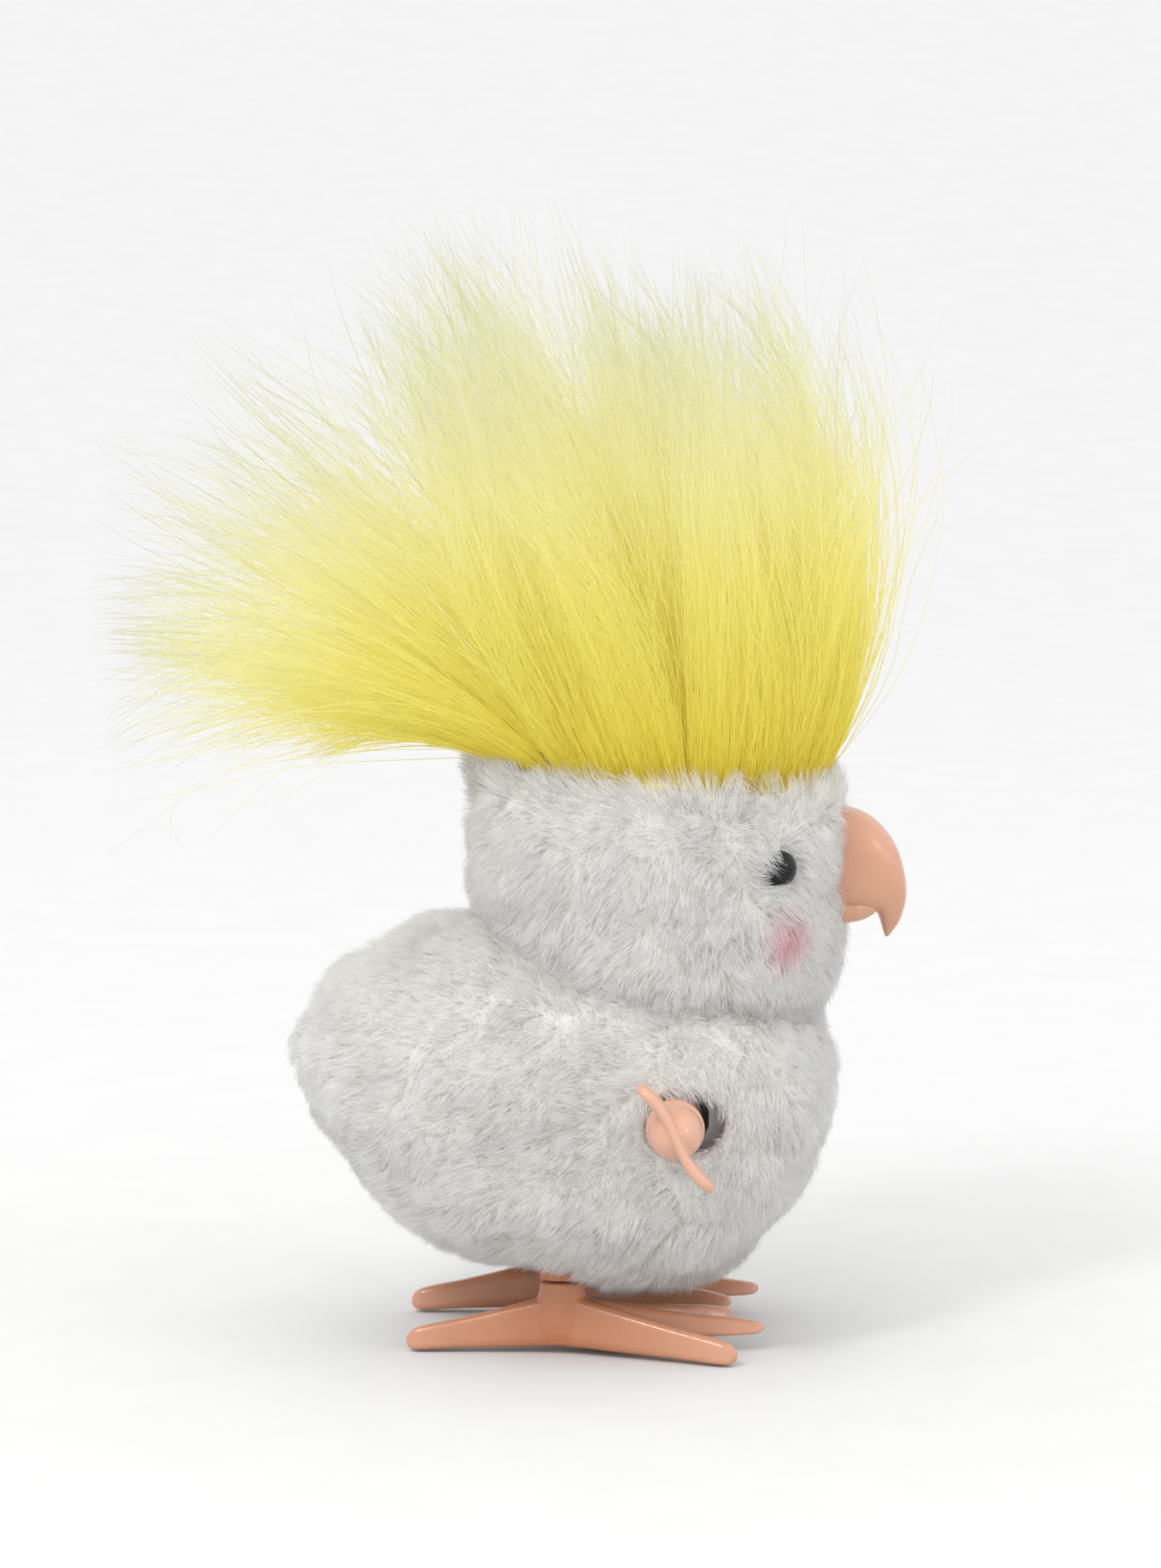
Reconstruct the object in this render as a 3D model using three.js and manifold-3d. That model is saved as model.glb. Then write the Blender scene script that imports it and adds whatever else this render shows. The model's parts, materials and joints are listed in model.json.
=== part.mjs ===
// Wind-up hopping bird: a plush bird with a long fur crest on a clockwork that swings both legs together.
// Millimetres. +X is the way the bird faces, +Y is its left, +Z is up.
// The origin is on the ground, midway between the feet and under the hip axle.

import * as THREE from "three";
import { mergeVertices } from "three/addons/utils/BufferGeometryUtils.js";
import { ConvexGeometry } from "three/addons/geometries/ConvexGeometry.js";
import Module from "manifold-3d";

const wasm = await Module();
wasm.setup();

// ---------------------------------------------------------------- driving dimensions

const GAP = 0.3; // between pieces that touch
const RUNNING = 0.12; // radial clearance of a shaft in its bearing
const TAU = 2 * Math.PI;

// Skins and shell, measured inward from the outside of the short white pile
const PLUSH = 4.3; // pile and backing together
const SHELL_OUTSIDE = PLUSH + 0.9;
const SHELL_WALL = 1.2;
const SHELL_INSIDE = SHELL_OUTSIDE + SHELL_WALL;

// Body: a side outline, blown up to this half width about this centre. Less fullness gives squarer sides.
const BODY_HALF_WIDTH = 30;
const BODY_FULLNESS = 0.6;
const BODY_CENTRE = [2, 33];
const BODY_OUTLINE = [
  [-38.3, 38], [-35, 48.5], [-27.5, 56], [-15, 60], [5, 60], [24, 56], [36, 48.5],
  [39.2, 36], [36.6, 24.5], [28.5, 14.6], [15, 7.2], [0, 8.6], [-15, 12], [-28, 20.5],
];

// Head: an upright drum whose top slopes down a little to the front
const HEAD_X = 13.2;
const HEAD_BASE_Z = 46;
const HEAD_RADIUS = 26.9;
const HEAD_TOP = 38.6; // above the base, on the drum's axis
const HEAD_PROFILE = [
  [21, 0], [25.4, 6], [HEAD_RADIUS, 18], [26.6, 31], [24.6, 36], [18, 38.2], [9, HEAD_TOP],
];
const HEAD_LEAN = THREE.MathUtils.degToRad(4.5);
const CROWN = 34; // above the base, where the white skin ends and the crest's fabric begins

// Neck: the plane where the head skin meets the body skin, high at the back and low at the front
const NECK_POINT = new THREE.Vector3(HEAD_X, 0, 53);
const NECK_SLOPE = THREE.MathUtils.degToRad(14);

// Crest: locks of long pile in a ring, four more inside it and one in the middle, on a round of fabric
const CREST_REACH_X = 55;
const CREST_REACH_Y = 41;
const CREST_TOP = 152;
const CREST_FABRIC = 1.5;
const CREST_ROOT_Z = HEAD_BASE_Z + HEAD_TOP - 1.4;
const OUTER_LOCKS = { count: 10, ring: 17, radius: 5.6, drop: 1.4, tipZ: 116, tipRise: 20 };
const INNER_LOCKS = { count: 4, ring: 9, radius: 5, tipX: 12, tipReachX: 24, tipReachY: 20, below: 7 };
const LOCK_SIDES = 5;
const LOCK_END_RADIUS = 0.35;

// Beak and eyes
const BEAK_STEM_Z = 67;
const BEAK_STEM_RADIUS = 2.5;
const BEAK_HALF_WIDTH = 6.3;
const BEAK_FULLNESS = 0.75;
const BEAK_CENTRE = [38.5, 66.5];
const BEAK_OUTLINE = [
  [38.5, 74.8], [43.2, 73.2], [46.8, 69.2], [48.2, 63.4], [47.4, 59.2], [45.6, 56.4],
  [44.4, 58.2], [43.4, 60.4], [43.1, 59.8], [41.5, 58.8], [38.5, 58.5], [35, 61], [34, 66.5], [35, 72],
];
const MOUTH_LINE = { fromX: 37, toX: 44.2, lowZ: 60.6, highZ: 60.9, innerY: 2.4, outerY: 7.6 };
const EYE_RADIUS = 2.55;
const EYE_SINK = 0.9; // of the bead's centre below the tips of the pile
const EYE_TURN = THREE.MathUtils.degToRad(42); // from straight sideways, towards the beak
const EYE_Z = 68.5;
const STEM_RADIUS = 0.9;
const WASHER_THICKNESS = 1;

// Clockwork axes, as X and Z. The wheels share one module, and their spacings follow from the teeth.
const MODULE = 0.5;
const GREAT_TEETH = 36;
const INTERMEDIATE_TEETH = 30;
const PINION_TEETH = 10;
const CRANK_TEETH = 24;
const ESCAPE_PINION_TEETH = 8;
const ESCAPE_TEETH = 12;
// Tooth height above and below the pitch circle in modules, and half widths as shares of the tooth spacing
const WHEEL_TOOTH = { above: 0.72, below: 1.1, tip: 0.1, root: 0.3 };
const PINION_TOOTH = { above: 0.7, below: 1.1, tip: 0.11, root: 0.26 };
const KEY_AXIS = [15.3, 34.3];
const HIP_AXIS = [0, 22];
const CRANK_AXIS = [0, 34.2];
const LEG_SWING = THREE.MathUtils.degToRad(10);
const CRANK_THROW = (CRANK_AXIS[1] - HIP_AXIS[1]) * Math.sin(LEG_SWING);

// Clockwork layers, as low and high Y
const GREAT_WHEEL_Y = [-8.2, -6.6];
const SPRING_Y = [-5.8, 1.6];
const INTERMEDIATE_PINION_Y = [-8.4, 3];
const INTERMEDIATE_WHEEL_Y = [2.8, 4.2];
const CRANK_PINION_Y = [2.6, 4.4];
const CRANK_WHEEL_Y = [-4, -2.6];
const CRANK_SHAFT_Y = [-9.9, 6.1];
const CRANK_DISC_Y = [5, 6.2];
const CRANK_PIN_END_Y = 6.7;
const ESCAPE_PINION_Y = [-4.2, -0.7];
const ESCAPE_WHEEL_Y = [-0.8, 0.6];
const PALLET_Y = [-0.7, 0.5];
const PALLET_HUB_Y = [-1.4, 1.2];
const ROCKER_Y = [7, 8.4];
const ROCKER_HUB_Y = 4.5;

const CASE_HALF_WIDTH = 10.3;
const CASE_WALL = 1.2;
const PIN_RADIUS = 0.75;
const ARBOR_RADIUS = 1.6;
const CRANK_SHAFT_RADIUS = 1.0;
const SPRING_RADIUS = 8.3;
const SPRING_TURNS = 5;
const SPRING_THICKNESS = 0.4;
const CRANK_DISC_RADIUS = 3.3;
const CRANK_PIN_RADIUS = 0.7;
const ESCAPE_RADIUS = 3.5;
const ESCAPE_TURN = THREE.MathUtils.degToRad(135); // from the crank's axis to the escape wheel's
const PALLET_SPACING = 5.9; // from the escape wheel's axis
const PALLET_TURN = THREE.MathUtils.degToRad(216);
const PALLET_SPREAD = THREE.MathUtils.degToRad(44); // of each arm, from the line between the two axes
const PALLET_ARM = 1.3;

// Screws, as X and Z of their axes
const SHELL_SCREWS = [[-26, 38], [5, 55.5], [16, 74.5]];
const SHELL_POSTS = [[22, 25.5], [-1, 46.5]];
const SHELL_BOSS_RADIUS = 2.8;
const SHELL_POST_RADIUS = 2;
const SHELL_SCREW_SEAT_Y = 4;
const SHELL_SCREW = { length: 11, shank: 0.95, head: 1.8 };
const CASE_SCREWS = [[24, 42.6], [12, 19.8], [-11.2, 27], [-7, 46.5]];
const CASE_SCREW_SEAT = 0.6; // how deep each screw head sits in the case wall
const CASE_POST_RADIUS = 2;
const CASE_SCREW = { length: 15, shank: 0.75, head: 1.5 };

// Legs and feet
const LEG_Y = 13;
const LEG_THICKNESS = 4;
const LEG_WIDTH = 6.5;
const LEG_SEAM_Z = 9.8;
const LEG_SLOT = { halfLength: 7.4, beside: 0.7, top: 21 };
const HIP_AXLE_RADIUS = 1.25;
const HIP_AXLE_HALF_LENGTH = 15.2;
const TOES = [
  { ahead: -22, outward: 0, lift: 0 },
  { ahead: 24, outward: 10.5, lift: 0 },
  { ahead: 28.2, outward: 0, lift: 2.2 },
  { ahead: 24, outward: -9.5, lift: 2.2 },
];
const ANKLE_RINGS = [[LEG_SEAM_Z - GAP / 2, 1], [8, 1.03], [6, 1.2], [4.4, 1.5], [2.6, 1.55], [1.4, 1.3]];
const ANKLE_SIDES = 14;

// Key
const KEY_HUB_RADIUS = 3.9;
const KEY_HUB_Y = [-34.6, -24.5];
const KEY_COLLAR_Y = [-30.4, -29];
const KEY_TIP_Y = -39.4;
const KEY_PLATE_LENGTH = 17.8;
const KEY_PLATE_DEPTH = 5.2;
const KEY_PLATE_CORNER = 2.4;
const KEY_PLATE_THICKNESS = 1.8;
const KEY_PLATE_BEVEL = 0.5;
const KEY_SQUARE = 2.6;
const KEY_SOCKET = 3.2;
const KEY_LEAN = THREE.MathUtils.degToRad(-55);
const KEY_HOLE = { x: 17.1, halfX: 6.5, halfZ: 5, outerY: -45, innerY: -18 };

const COLOURS = {
  white_plush: { color: 0xf4f3f0, roughness: 0.95, metalness: 0 },
  yellow_pile: { color: 0xf0e03c, roughness: 0.85, metalness: 0 },
  yellow_backing: { color: 0xd9bd2a, roughness: 0.95, metalness: 0 },
  peach_plastic: { color: 0xe9ab8c, roughness: 0.32, metalness: 0 },
  black_bead: { color: 0x0b0c0e, roughness: 0.08, metalness: 0 },
  shell_plastic: { color: 0xd8d6d0, roughness: 0.5, metalness: 0 },
  case_plastic: { color: 0xe6e6e2, roughness: 0.4, metalness: 0 },
  gear_plastic: { color: 0xf2eee2, roughness: 0.45, metalness: 0 },
  rocker_plastic: { color: 0xc9473c, roughness: 0.45, metalness: 0 },
  steel: { color: 0xb9bcc0, roughness: 0.3, metalness: 1 },
  spring_steel: { color: 0x6f7683, roughness: 0.3, metalness: 1 },
};

// ---------------------------------------------------------------- shape helpers

// A geometry with shared vertices and outward faces
function closed(geometry) {
  geometry.deleteAttribute("normal");
  geometry.deleteAttribute("uv");
  const merged = mergeVertices(geometry, 1e-4);
  if (signedVolume(merged) < 0) {
    const index = merged.index.array;
    for (let i = 0; i < index.length; i += 3) {
      [index[i], index[i + 1]] = [index[i + 1], index[i]];
    }
  }
  return merged;
}

function signedVolume(geometry) {
  const corners = [0, 1, 2].map(() => new THREE.Vector3());
  const index = geometry.index.array;
  let sixfold = 0;
  for (let i = 0; i < index.length; i += 3) {
    corners.forEach((corner, k) => corner.fromBufferAttribute(geometry.attributes.position, index[i + k]));
    sixfold += corners[0].dot(corners[1].cross(corners[2]));
  }
  return sixfold;
}

function solid(geometry) {
  const merged = closed(geometry);
  return new wasm.Manifold(new wasm.Mesh({
    numProp: 3,
    vertProperties: new Float32Array(merged.attributes.position.array),
    triVerts: new Uint32Array(merged.index.array),
  }));
}

function surface(body) {
  const mesh = body.getMesh();
  const geometry = new THREE.BufferGeometry();
  geometry.setAttribute("position", new THREE.BufferAttribute(new Float32Array(mesh.vertProperties), 3));
  geometry.setIndex(new THREE.BufferAttribute(new Uint32Array(mesh.triVerts), 1));
  return geometry;
}

// A closed skin over rings of points, with a flat or pointed end at both ends
function loft(rings) {
  const points = rings.flat();
  const sides = rings[0].length;
  const faces = [];
  for (let r = 0; r + 1 < rings.length; r += 1) {
    for (let k = 0; k < sides; k += 1) {
      const a = r * sides + k;
      const b = r * sides + (k + 1) % sides;
      faces.push(a, b, a + sides, b, b + sides, a + sides);
    }
  }
  for (const [ring, start] of [[rings[0], 0], [rings.at(-1), (rings.length - 1) * sides]]) {
    const centre = new THREE.Vector3();
    ring.forEach((point) => centre.addScaledVector(point, 1 / sides));
    points.push(centre);
    for (let k = 0; k < sides; k += 1) {
      const pair = [start + k, start + (k + 1) % sides];
      faces.push(...(start === 0 ? pair.reverse() : pair), points.length - 1);
    }
  }
  const geometry = new THREE.BufferGeometry().setFromPoints(points);
  geometry.setIndex(faces);
  return geometry;
}

// The same closed shape with every point moved inward along its normal
function inset(geometry, distance) {
  const shape = closed(geometry.clone());
  shape.computeVertexNormals();
  const point = new THREE.Vector3();
  const normal = new THREE.Vector3();
  for (let i = 0; i < shape.attributes.position.count; i += 1) {
    point.fromBufferAttribute(shape.attributes.position, i);
    normal.fromBufferAttribute(shape.attributes.normal, i);
    point.addScaledVector(normal, -distance);
    shape.attributes.position.setXYZ(i, point.x, point.y, point.z);
  }
  return shape;
}

// A round bar along Y
function bar([x, z], radius, yLow, yHigh, sides = 14) {
  const geometry = new THREE.CylinderGeometry(radius, radius, yHigh - yLow, sides);
  return geometry.translate(x, (yLow + yHigh) / 2, z);
}

// A flat outline drawn in X and Z, given thickness along Y
function plate(shape, yLow, yHigh, curveSegments = 6) {
  const depth = yHigh - yLow;
  const geometry = new THREE.ExtrudeGeometry(shape, { depth, bevelEnabled: false, curveSegments });
  return geometry.rotateX(Math.PI / 2).translate(0, yHigh, 0);
}

function block(low, high) {
  const size = high.map((value, i) => value - low[i]);
  return new THREE.BoxGeometry(...size).translate(...low.map((value, i) => value + size[i] / 2));
}

// Half of space, as a large block, on the side of a sloping plane that its normal points to
function halfSpace(point, lean, side) {
  const size = 400;
  const geometry = new THREE.BoxGeometry(size, size, size).translate(0, 0, side * size / 2);
  return solid(geometry.rotateY(lean).translate(point.x, point.y, point.z));
}

function polygon(points) {
  return new THREE.Shape(points.map(([x, z]) => new THREE.Vector2(x, z)));
}

function around([x, z], radius, angle) {
  return [x + radius * Math.cos(angle), z + radius * Math.sin(angle)];
}

function unite(bodies) {
  return bodies.reduce((whole, body) => whole.add(body));
}

// ---------------------------------------------------------------- outer forms

// A side outline, smoothed and blown up sideways into a cushion shape
function cushion(outline, centre, halfWidth, sides, levels, fullness) {
  const curve = new THREE.SplineCurve([...outline, outline[0]].map(([x, z]) => new THREE.Vector2(x, z)));
  const smooth = curve.getSpacedPoints(sides).slice(0, sides);
  const rings = [];
  const nearPole = 0.985; // leaves a small flat face at each side
  for (let level = 0; level <= levels; level += 1) {
    const angle = (level / levels - 0.5) * Math.PI * nearPole;
    const scale = Math.cos(angle) ** fullness;
    rings.push(smooth.map((point) => new THREE.Vector3(
      centre[0] + (point.x - centre[0]) * scale,
      halfWidth * Math.sin(angle),
      centre[1] + (point.y - centre[1]) * scale,
    )));
  }
  return loft(rings);
}

function bodyForm(sides, levels) {
  return cushion(BODY_OUTLINE, BODY_CENTRE, BODY_HALF_WIDTH, sides, levels, BODY_FULLNESS);
}

function headForm(sides, rings) {
  const corners = HEAD_PROFILE.map(([radius, z]) => new THREE.Vector2(radius, z));
  const side = new THREE.SplineCurve(corners).getPoints(rings);
  const profile = [new THREE.Vector2(0, 0), ...side, new THREE.Vector2(0, HEAD_TOP)];
  const slope = new THREE.Matrix4().set(1, 0, 0, 0, 0, 1, 0, 0, -Math.tan(HEAD_LEAN), 0, 1, 0, 0, 0, 0, 1);
  const drum = new THREE.LatheGeometry(profile, sides).rotateX(Math.PI / 2);
  return drum.applyMatrix4(slope).translate(HEAD_X, 0, HEAD_BASE_Z);
}

const body = bodyForm(22, 8);
const head = headForm(22, 6);
const bodyAt = (depth) => solid(inset(body, depth));
const headAt = (depth) => solid(inset(head, depth));

// The hidden shell follows the same forms with fewer faces
const shellBody = bodyForm(16, 6);
const shellHead = headForm(16, 5);
const shellAt = (depth) => solid(inset(shellBody, depth)).add(solid(inset(shellHead, depth)));

const crownPoint = new THREE.Vector3(HEAD_X, 0, HEAD_BASE_Z + CROWN);
const neckShift = new THREE.Vector3(0, 0, GAP / 2);

// ---------------------------------------------------------------- openings shared by skins and shell

function keyTunnel() {
  const shape = new THREE.Shape().absellipse(KEY_HOLE.x, KEY_AXIS[1], KEY_HOLE.halfX, KEY_HOLE.halfZ, 0, TAU);
  return solid(plate(shape, KEY_HOLE.outerY, KEY_HOLE.innerY, 10));
}

function legSlots() {
  const { halfLength, beside, top } = LEG_SLOT;
  const halfWidth = LEG_THICKNESS / 2 + beside;
  const slot = (side) => {
    const y = side * LEG_Y;
    return solid(block([-halfLength, y - halfWidth, -5], [halfLength, y + halfWidth, top]));
  };
  return slot(1).add(slot(-1));
}

// A round bar pointing out of the head, level, turned from straight ahead
function spoke(radius, from, to, z, turn, sides = 14) {
  const geometry = new THREE.CylinderGeometry(radius, radius, to - from, sides);
  geometry.rotateZ(-Math.PI / 2).translate((from + to) / 2, 0, 0);
  return solid(geometry.rotateZ(turn).translate(HEAD_X, 0, z));
}

function eyeTurn(side) {
  return side * (Math.PI / 2 - EYE_TURN);
}

function faceHoles(extra) {
  const from = 15;
  const to = 32;
  const eyes = [1, -1].map((side) => spoke(STEM_RADIUS + extra, from, to, EYE_Z, eyeTurn(side)));
  return unite([spoke(BEAK_STEM_RADIUS + extra, from, to, BEAK_STEM_Z, 0), ...eyes]);
}

function eyeSeats() {
  return unite([1, -1].map((side) => eyeBall(side, EYE_RADIUS + GAP)));
}

function eyeBall(side, radius) {
  const reach = HEAD_RADIUS - EYE_SINK;
  const ball = new THREE.SphereGeometry(radius, 12, 8);
  return solid(ball.translate(reach, 0, 0).rotateZ(eyeTurn(side)).translate(HEAD_X, 0, EYE_Z));
}

// ---------------------------------------------------------------- skins and crest

function plushBody() {
  return bodyAt(0).subtract(bodyAt(PLUSH))
    .intersect(halfSpace(NECK_POINT.clone().sub(neckShift), NECK_SLOPE, -1))
    .subtract(headAt(PLUSH))
    .subtract(keyTunnel())
    .subtract(legSlots());
}

function plushHead() {
  return headAt(0).subtract(headAt(PLUSH))
    .intersect(halfSpace(NECK_POINT.clone().add(neckShift), NECK_SLOPE, 1))
    .intersect(halfSpace(crownPoint, HEAD_LEAN, -1))
    .subtract(bodyAt(PLUSH))
    .subtract(faceHoles(GAP))
    .subtract(eyeSeats());
}

function crestBacking() {
  const start = crownPoint.clone().add(new THREE.Vector3(0, 0, GAP));
  return headAt(PLUSH - CREST_FABRIC).subtract(headAt(PLUSH)).intersect(halfSpace(start, HEAD_LEAN, 1));
}

// A tapering lock of pile from the crown to its tip
function lock(root, tip, radius) {
  const bend = root.clone().lerp(tip, 0.45);
  bend.z += root.distanceTo(tip) * 0.12;
  const spine = new THREE.QuadraticBezierCurve3(root, bend, tip);
  const steps = 3;
  const rings = [];
  const side = new THREE.Vector3();
  const cross = new THREE.Vector3();
  for (let step = 0; step <= steps; step += 1) {
    const along = spine.getTangent(step / steps);
    side.set(-along.y, along.x, 0.01).normalize();
    cross.crossVectors(along, side).normalize();
    side.crossVectors(cross, along);
    const size = radius * (1 - step / steps) ** 0.8 + LOCK_END_RADIUS;
    const centre = spine.getPoint(step / steps);
    rings.push(Array.from({ length: LOCK_SIDES }, (_, k) => centre.clone()
      .addScaledVector(side, size * Math.cos(TAU * k / LOCK_SIDES))
      .addScaledVector(cross, size * Math.sin(TAU * k / LOCK_SIDES))));
  }
  return solid(loft(rings));
}

function crestPile() {
  const start = crownPoint.clone().add(new THREE.Vector3(0, 0, GAP));
  const base = headAt(0)
    .subtract(headAt(PLUSH - CREST_FABRIC - GAP))
    .intersect(halfSpace(start, HEAD_LEAN, 1));
  const locks = [];
  for (let i = 0; i < OUTER_LOCKS.count; i += 1) {
    const turn = TAU * i / OUTER_LOCKS.count;
    const root = new THREE.Vector3(
      HEAD_X + OUTER_LOCKS.ring * Math.cos(turn),
      OUTER_LOCKS.ring * Math.sin(turn),
      CREST_ROOT_Z - OUTER_LOCKS.drop * Math.cos(turn),
    );
    const tip = new THREE.Vector3(
      CREST_REACH_X * Math.cos(turn),
      CREST_REACH_Y / Math.sin(0.4 * Math.PI) * Math.sin(turn), // the widest lock stands at 72 degrees
      OUTER_LOCKS.tipZ + OUTER_LOCKS.tipRise * Math.cos(turn),
    );
    locks.push(lock(root, tip, OUTER_LOCKS.radius));
  }
  for (let i = 0; i < INNER_LOCKS.count; i += 1) {
    const turn = TAU * (i + 0.5) / INNER_LOCKS.count;
    const root = new THREE.Vector3(
      HEAD_X + INNER_LOCKS.ring * Math.cos(turn),
      INNER_LOCKS.ring * Math.sin(turn),
      CREST_ROOT_Z,
    );
    const tip = new THREE.Vector3(
      INNER_LOCKS.tipX + INNER_LOCKS.tipReachX * Math.cos(turn),
      INNER_LOCKS.tipReachY * Math.sin(turn),
      CREST_TOP - INNER_LOCKS.below,
    );
    locks.push(lock(root, tip, INNER_LOCKS.radius));
  }
  const middle = new THREE.Vector3(HEAD_X, 0, CREST_ROOT_Z);
  locks.push(lock(middle, new THREE.Vector3(8, 0, CREST_TOP), INNER_LOCKS.radius));
  return unite([base, ...locks])
    .subtract(headAt(-GAP).intersect(halfSpace(start, HEAD_LEAN, -1)))
    .subtract(headAt(PLUSH - CREST_FABRIC - GAP));
}

// ---------------------------------------------------------------- inner shell

function shellHalf(side) {
  const outside = shellAt(SHELL_OUTSIDE);
  const inside = shellAt(SHELL_INSIDE);
  const bosses = SHELL_SCREWS.map((axis) => solid(bar(axis, SHELL_BOSS_RADIUS, -30, 30, 10)));
  const posts = SHELL_POSTS.map((axis) => solid(bar(axis, SHELL_POST_RADIUS, -30, 30, 8)));
  const motorRoom = caseBlock(GAP, -CASE_HALF_WIDTH - GAP, CASE_HALF_WIDTH + GAP);
  const fittings = unite([...bosses, ...posts]).intersect(outside);
  const screwHoles = SHELL_SCREWS.map((axis) => solid(bar(axis, SHELL_SCREW.shank + 0.25, -9, 40, 8))
    .add(solid(bar(axis, SHELL_SCREW.head + GAP, SHELL_SCREW_SEAT_Y, 40, 10))));
  const seam = GAP / 2;
  const half = side > 0 ? block([-99, seam, -9], [99, 99, 199]) : block([-99, -99, -9], [99, -seam, 199]);
  return outside.subtract(inside).add(fittings)
    .intersect(solid(half))
    .subtract(motorRoom)
    .subtract(unite(screwHoles))
    .subtract(solid(bar(KEY_AXIS, KEY_HUB_RADIUS + 1, -40, -15)))
    .subtract(legSlots())
    .subtract(faceHoles(GAP));
}

// A screw along Y with a slotted head that starts at headY
function screw([x, z], headY, { length, shank, head: headRadius }) {
  const headLength = headRadius * 0.7;
  const slotHalfLength = headRadius * 0.6;
  const slotHalfWidth = 0.2;
  const slot = solid(block(
    [x - slotHalfLength, headY + headLength * 0.4, z - slotHalfWidth],
    [x + slotHalfLength, headY + headLength + 1, z + slotHalfWidth],
  ));
  return solid(bar([x, z], headRadius, headY, headY + headLength, 12))
    .add(solid(bar([x, z], shank, headY - length, headY + 0.1, 8)))
    .subtract(slot);
}

// ---------------------------------------------------------------- face

function beak() {
  const form = solid(cushion(BEAK_OUTLINE, BEAK_CENTRE, BEAK_HALF_WIDTH, 24, 6, BEAK_FULLNESS));
  const { fromX, toX, lowZ, highZ, innerY, outerY } = MOUTH_LINE;
  const right = solid(block([fromX, -outerY, lowZ], [toX, -innerY, highZ]));
  const left = solid(block([fromX, innerY, lowZ], [toX, outerY, highZ]));
  return form.subtract(right).subtract(left).subtract(headAt(-GAP))
    .add(spoke(BEAK_STEM_RADIUS, HEAD_RADIUS - SHELL_INSIDE - 3, HEAD_RADIUS + 1.5, BEAK_STEM_Z, 0));
}

function washer(radius, hole, z, turn) {
  const from = HEAD_RADIUS - SHELL_INSIDE - 2.2;
  const to = from + WASHER_THICKNESS;
  return spoke(radius, from, to, z, turn).subtract(spoke(hole, from - 1, to + 1, z, turn));
}

function eye(side) {
  const from = HEAD_RADIUS - SHELL_INSIDE - 2.8;
  return eyeBall(side, EYE_RADIUS).add(spoke(STEM_RADIUS, from, HEAD_RADIUS - 1.5, EYE_Z, eyeTurn(side)));
}

// ---------------------------------------------------------------- clockwork

// The point at given distances from two axes, on the upper side of the line between them
function thirdAxis(a, b, fromA, fromB) {
  const span = Math.hypot(b[0] - a[0], b[1] - a[1]);
  const along = (fromA ** 2 - fromB ** 2 + span ** 2) / (2 * span);
  const off = Math.sqrt(fromA ** 2 - along ** 2);
  const u = [(b[0] - a[0]) / span, (b[1] - a[1]) / span];
  return [a[0] + along * u[0] - off * u[1], a[1] + along * u[1] + off * u[0]];
}

const spacing = (teethA, teethB) => MODULE * (teethA + teethB) / 2;
const INTERMEDIATE_AXIS = thirdAxis(CRANK_AXIS, KEY_AXIS,
  spacing(INTERMEDIATE_TEETH, PINION_TEETH), spacing(GREAT_TEETH, PINION_TEETH));
const ESCAPE_AXIS = around(CRANK_AXIS, spacing(CRANK_TEETH, ESCAPE_PINION_TEETH), ESCAPE_TURN);
const PALLET_AXIS = around(ESCAPE_AXIS, PALLET_SPACING, PALLET_TURN);

const direction = (from, to) => Math.atan2(to[1] - from[1], to[0] - from[0]);

// Teeth with straight flanks and backlash. One tooth is centred on the given angle.
function gear(axis, teeth, [yLow, yHigh], firstTooth) {
  const shape = teeth < 15 ? PINION_TOOTH : WHEEL_TOOTH;
  const pitch = MODULE * teeth / 2;
  const tip = pitch + MODULE * shape.above;
  const root = pitch - MODULE * shape.below;
  const step = TAU / teeth;
  const tipHalf = step * shape.tip;
  const rootHalf = step * shape.root;
  const points = [];
  for (let i = 0; i < teeth; i += 1) {
    const middle = firstTooth + i * step;
    points.push(around(axis, root, middle - rootHalf));
    points.push(around(axis, tip, middle - tipHalf));
    points.push(around(axis, tip, middle + tipHalf));
    points.push(around(axis, root, middle + rootHalf));
  }
  return solid(plate(polygon(points), yLow, yHigh));
}

// The turn of a driven gear that puts a gap where the driving gear has a tooth
function meshTurn(driver, driven, driverTeeth, drivenTeeth, driverFirstTooth) {
  const towards = direction(driver, driven);
  const offset = (towards - driverFirstTooth) / (TAU / driverTeeth);
  const phase = offset - Math.floor(offset);
  return towards + Math.PI + (phase + 0.5) * TAU / drivenTeeth;
}

const greatFirst = direction(KEY_AXIS, INTERMEDIATE_AXIS);
const intermediateFirst = meshTurn(KEY_AXIS, INTERMEDIATE_AXIS, GREAT_TEETH, PINION_TEETH, greatFirst);
const crankFirst = meshTurn(
  INTERMEDIATE_AXIS, CRANK_AXIS, INTERMEDIATE_TEETH, PINION_TEETH, intermediateFirst,
);
const escapeFirst = meshTurn(CRANK_AXIS, ESCAPE_AXIS, CRANK_TEETH, ESCAPE_PINION_TEETH, crankFirst);

function windingArbor() {
  const [x, z] = KEY_AXIS;
  const half = KEY_SQUARE / 2;
  const end = solid(block([x - half, -31, z - half], [x + half, -8, z + half]));
  return end.add(solid(bar(KEY_AXIS, ARBOR_RADIUS, -8.9, 9.9)));
}

function greatWheel() {
  return gear(KEY_AXIS, GREAT_TEETH, GREAT_WHEEL_Y, greatFirst)
    .subtract(solid(bar(KEY_AXIS, ARBOR_RADIUS + GAP, -12, 0)));
}

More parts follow.
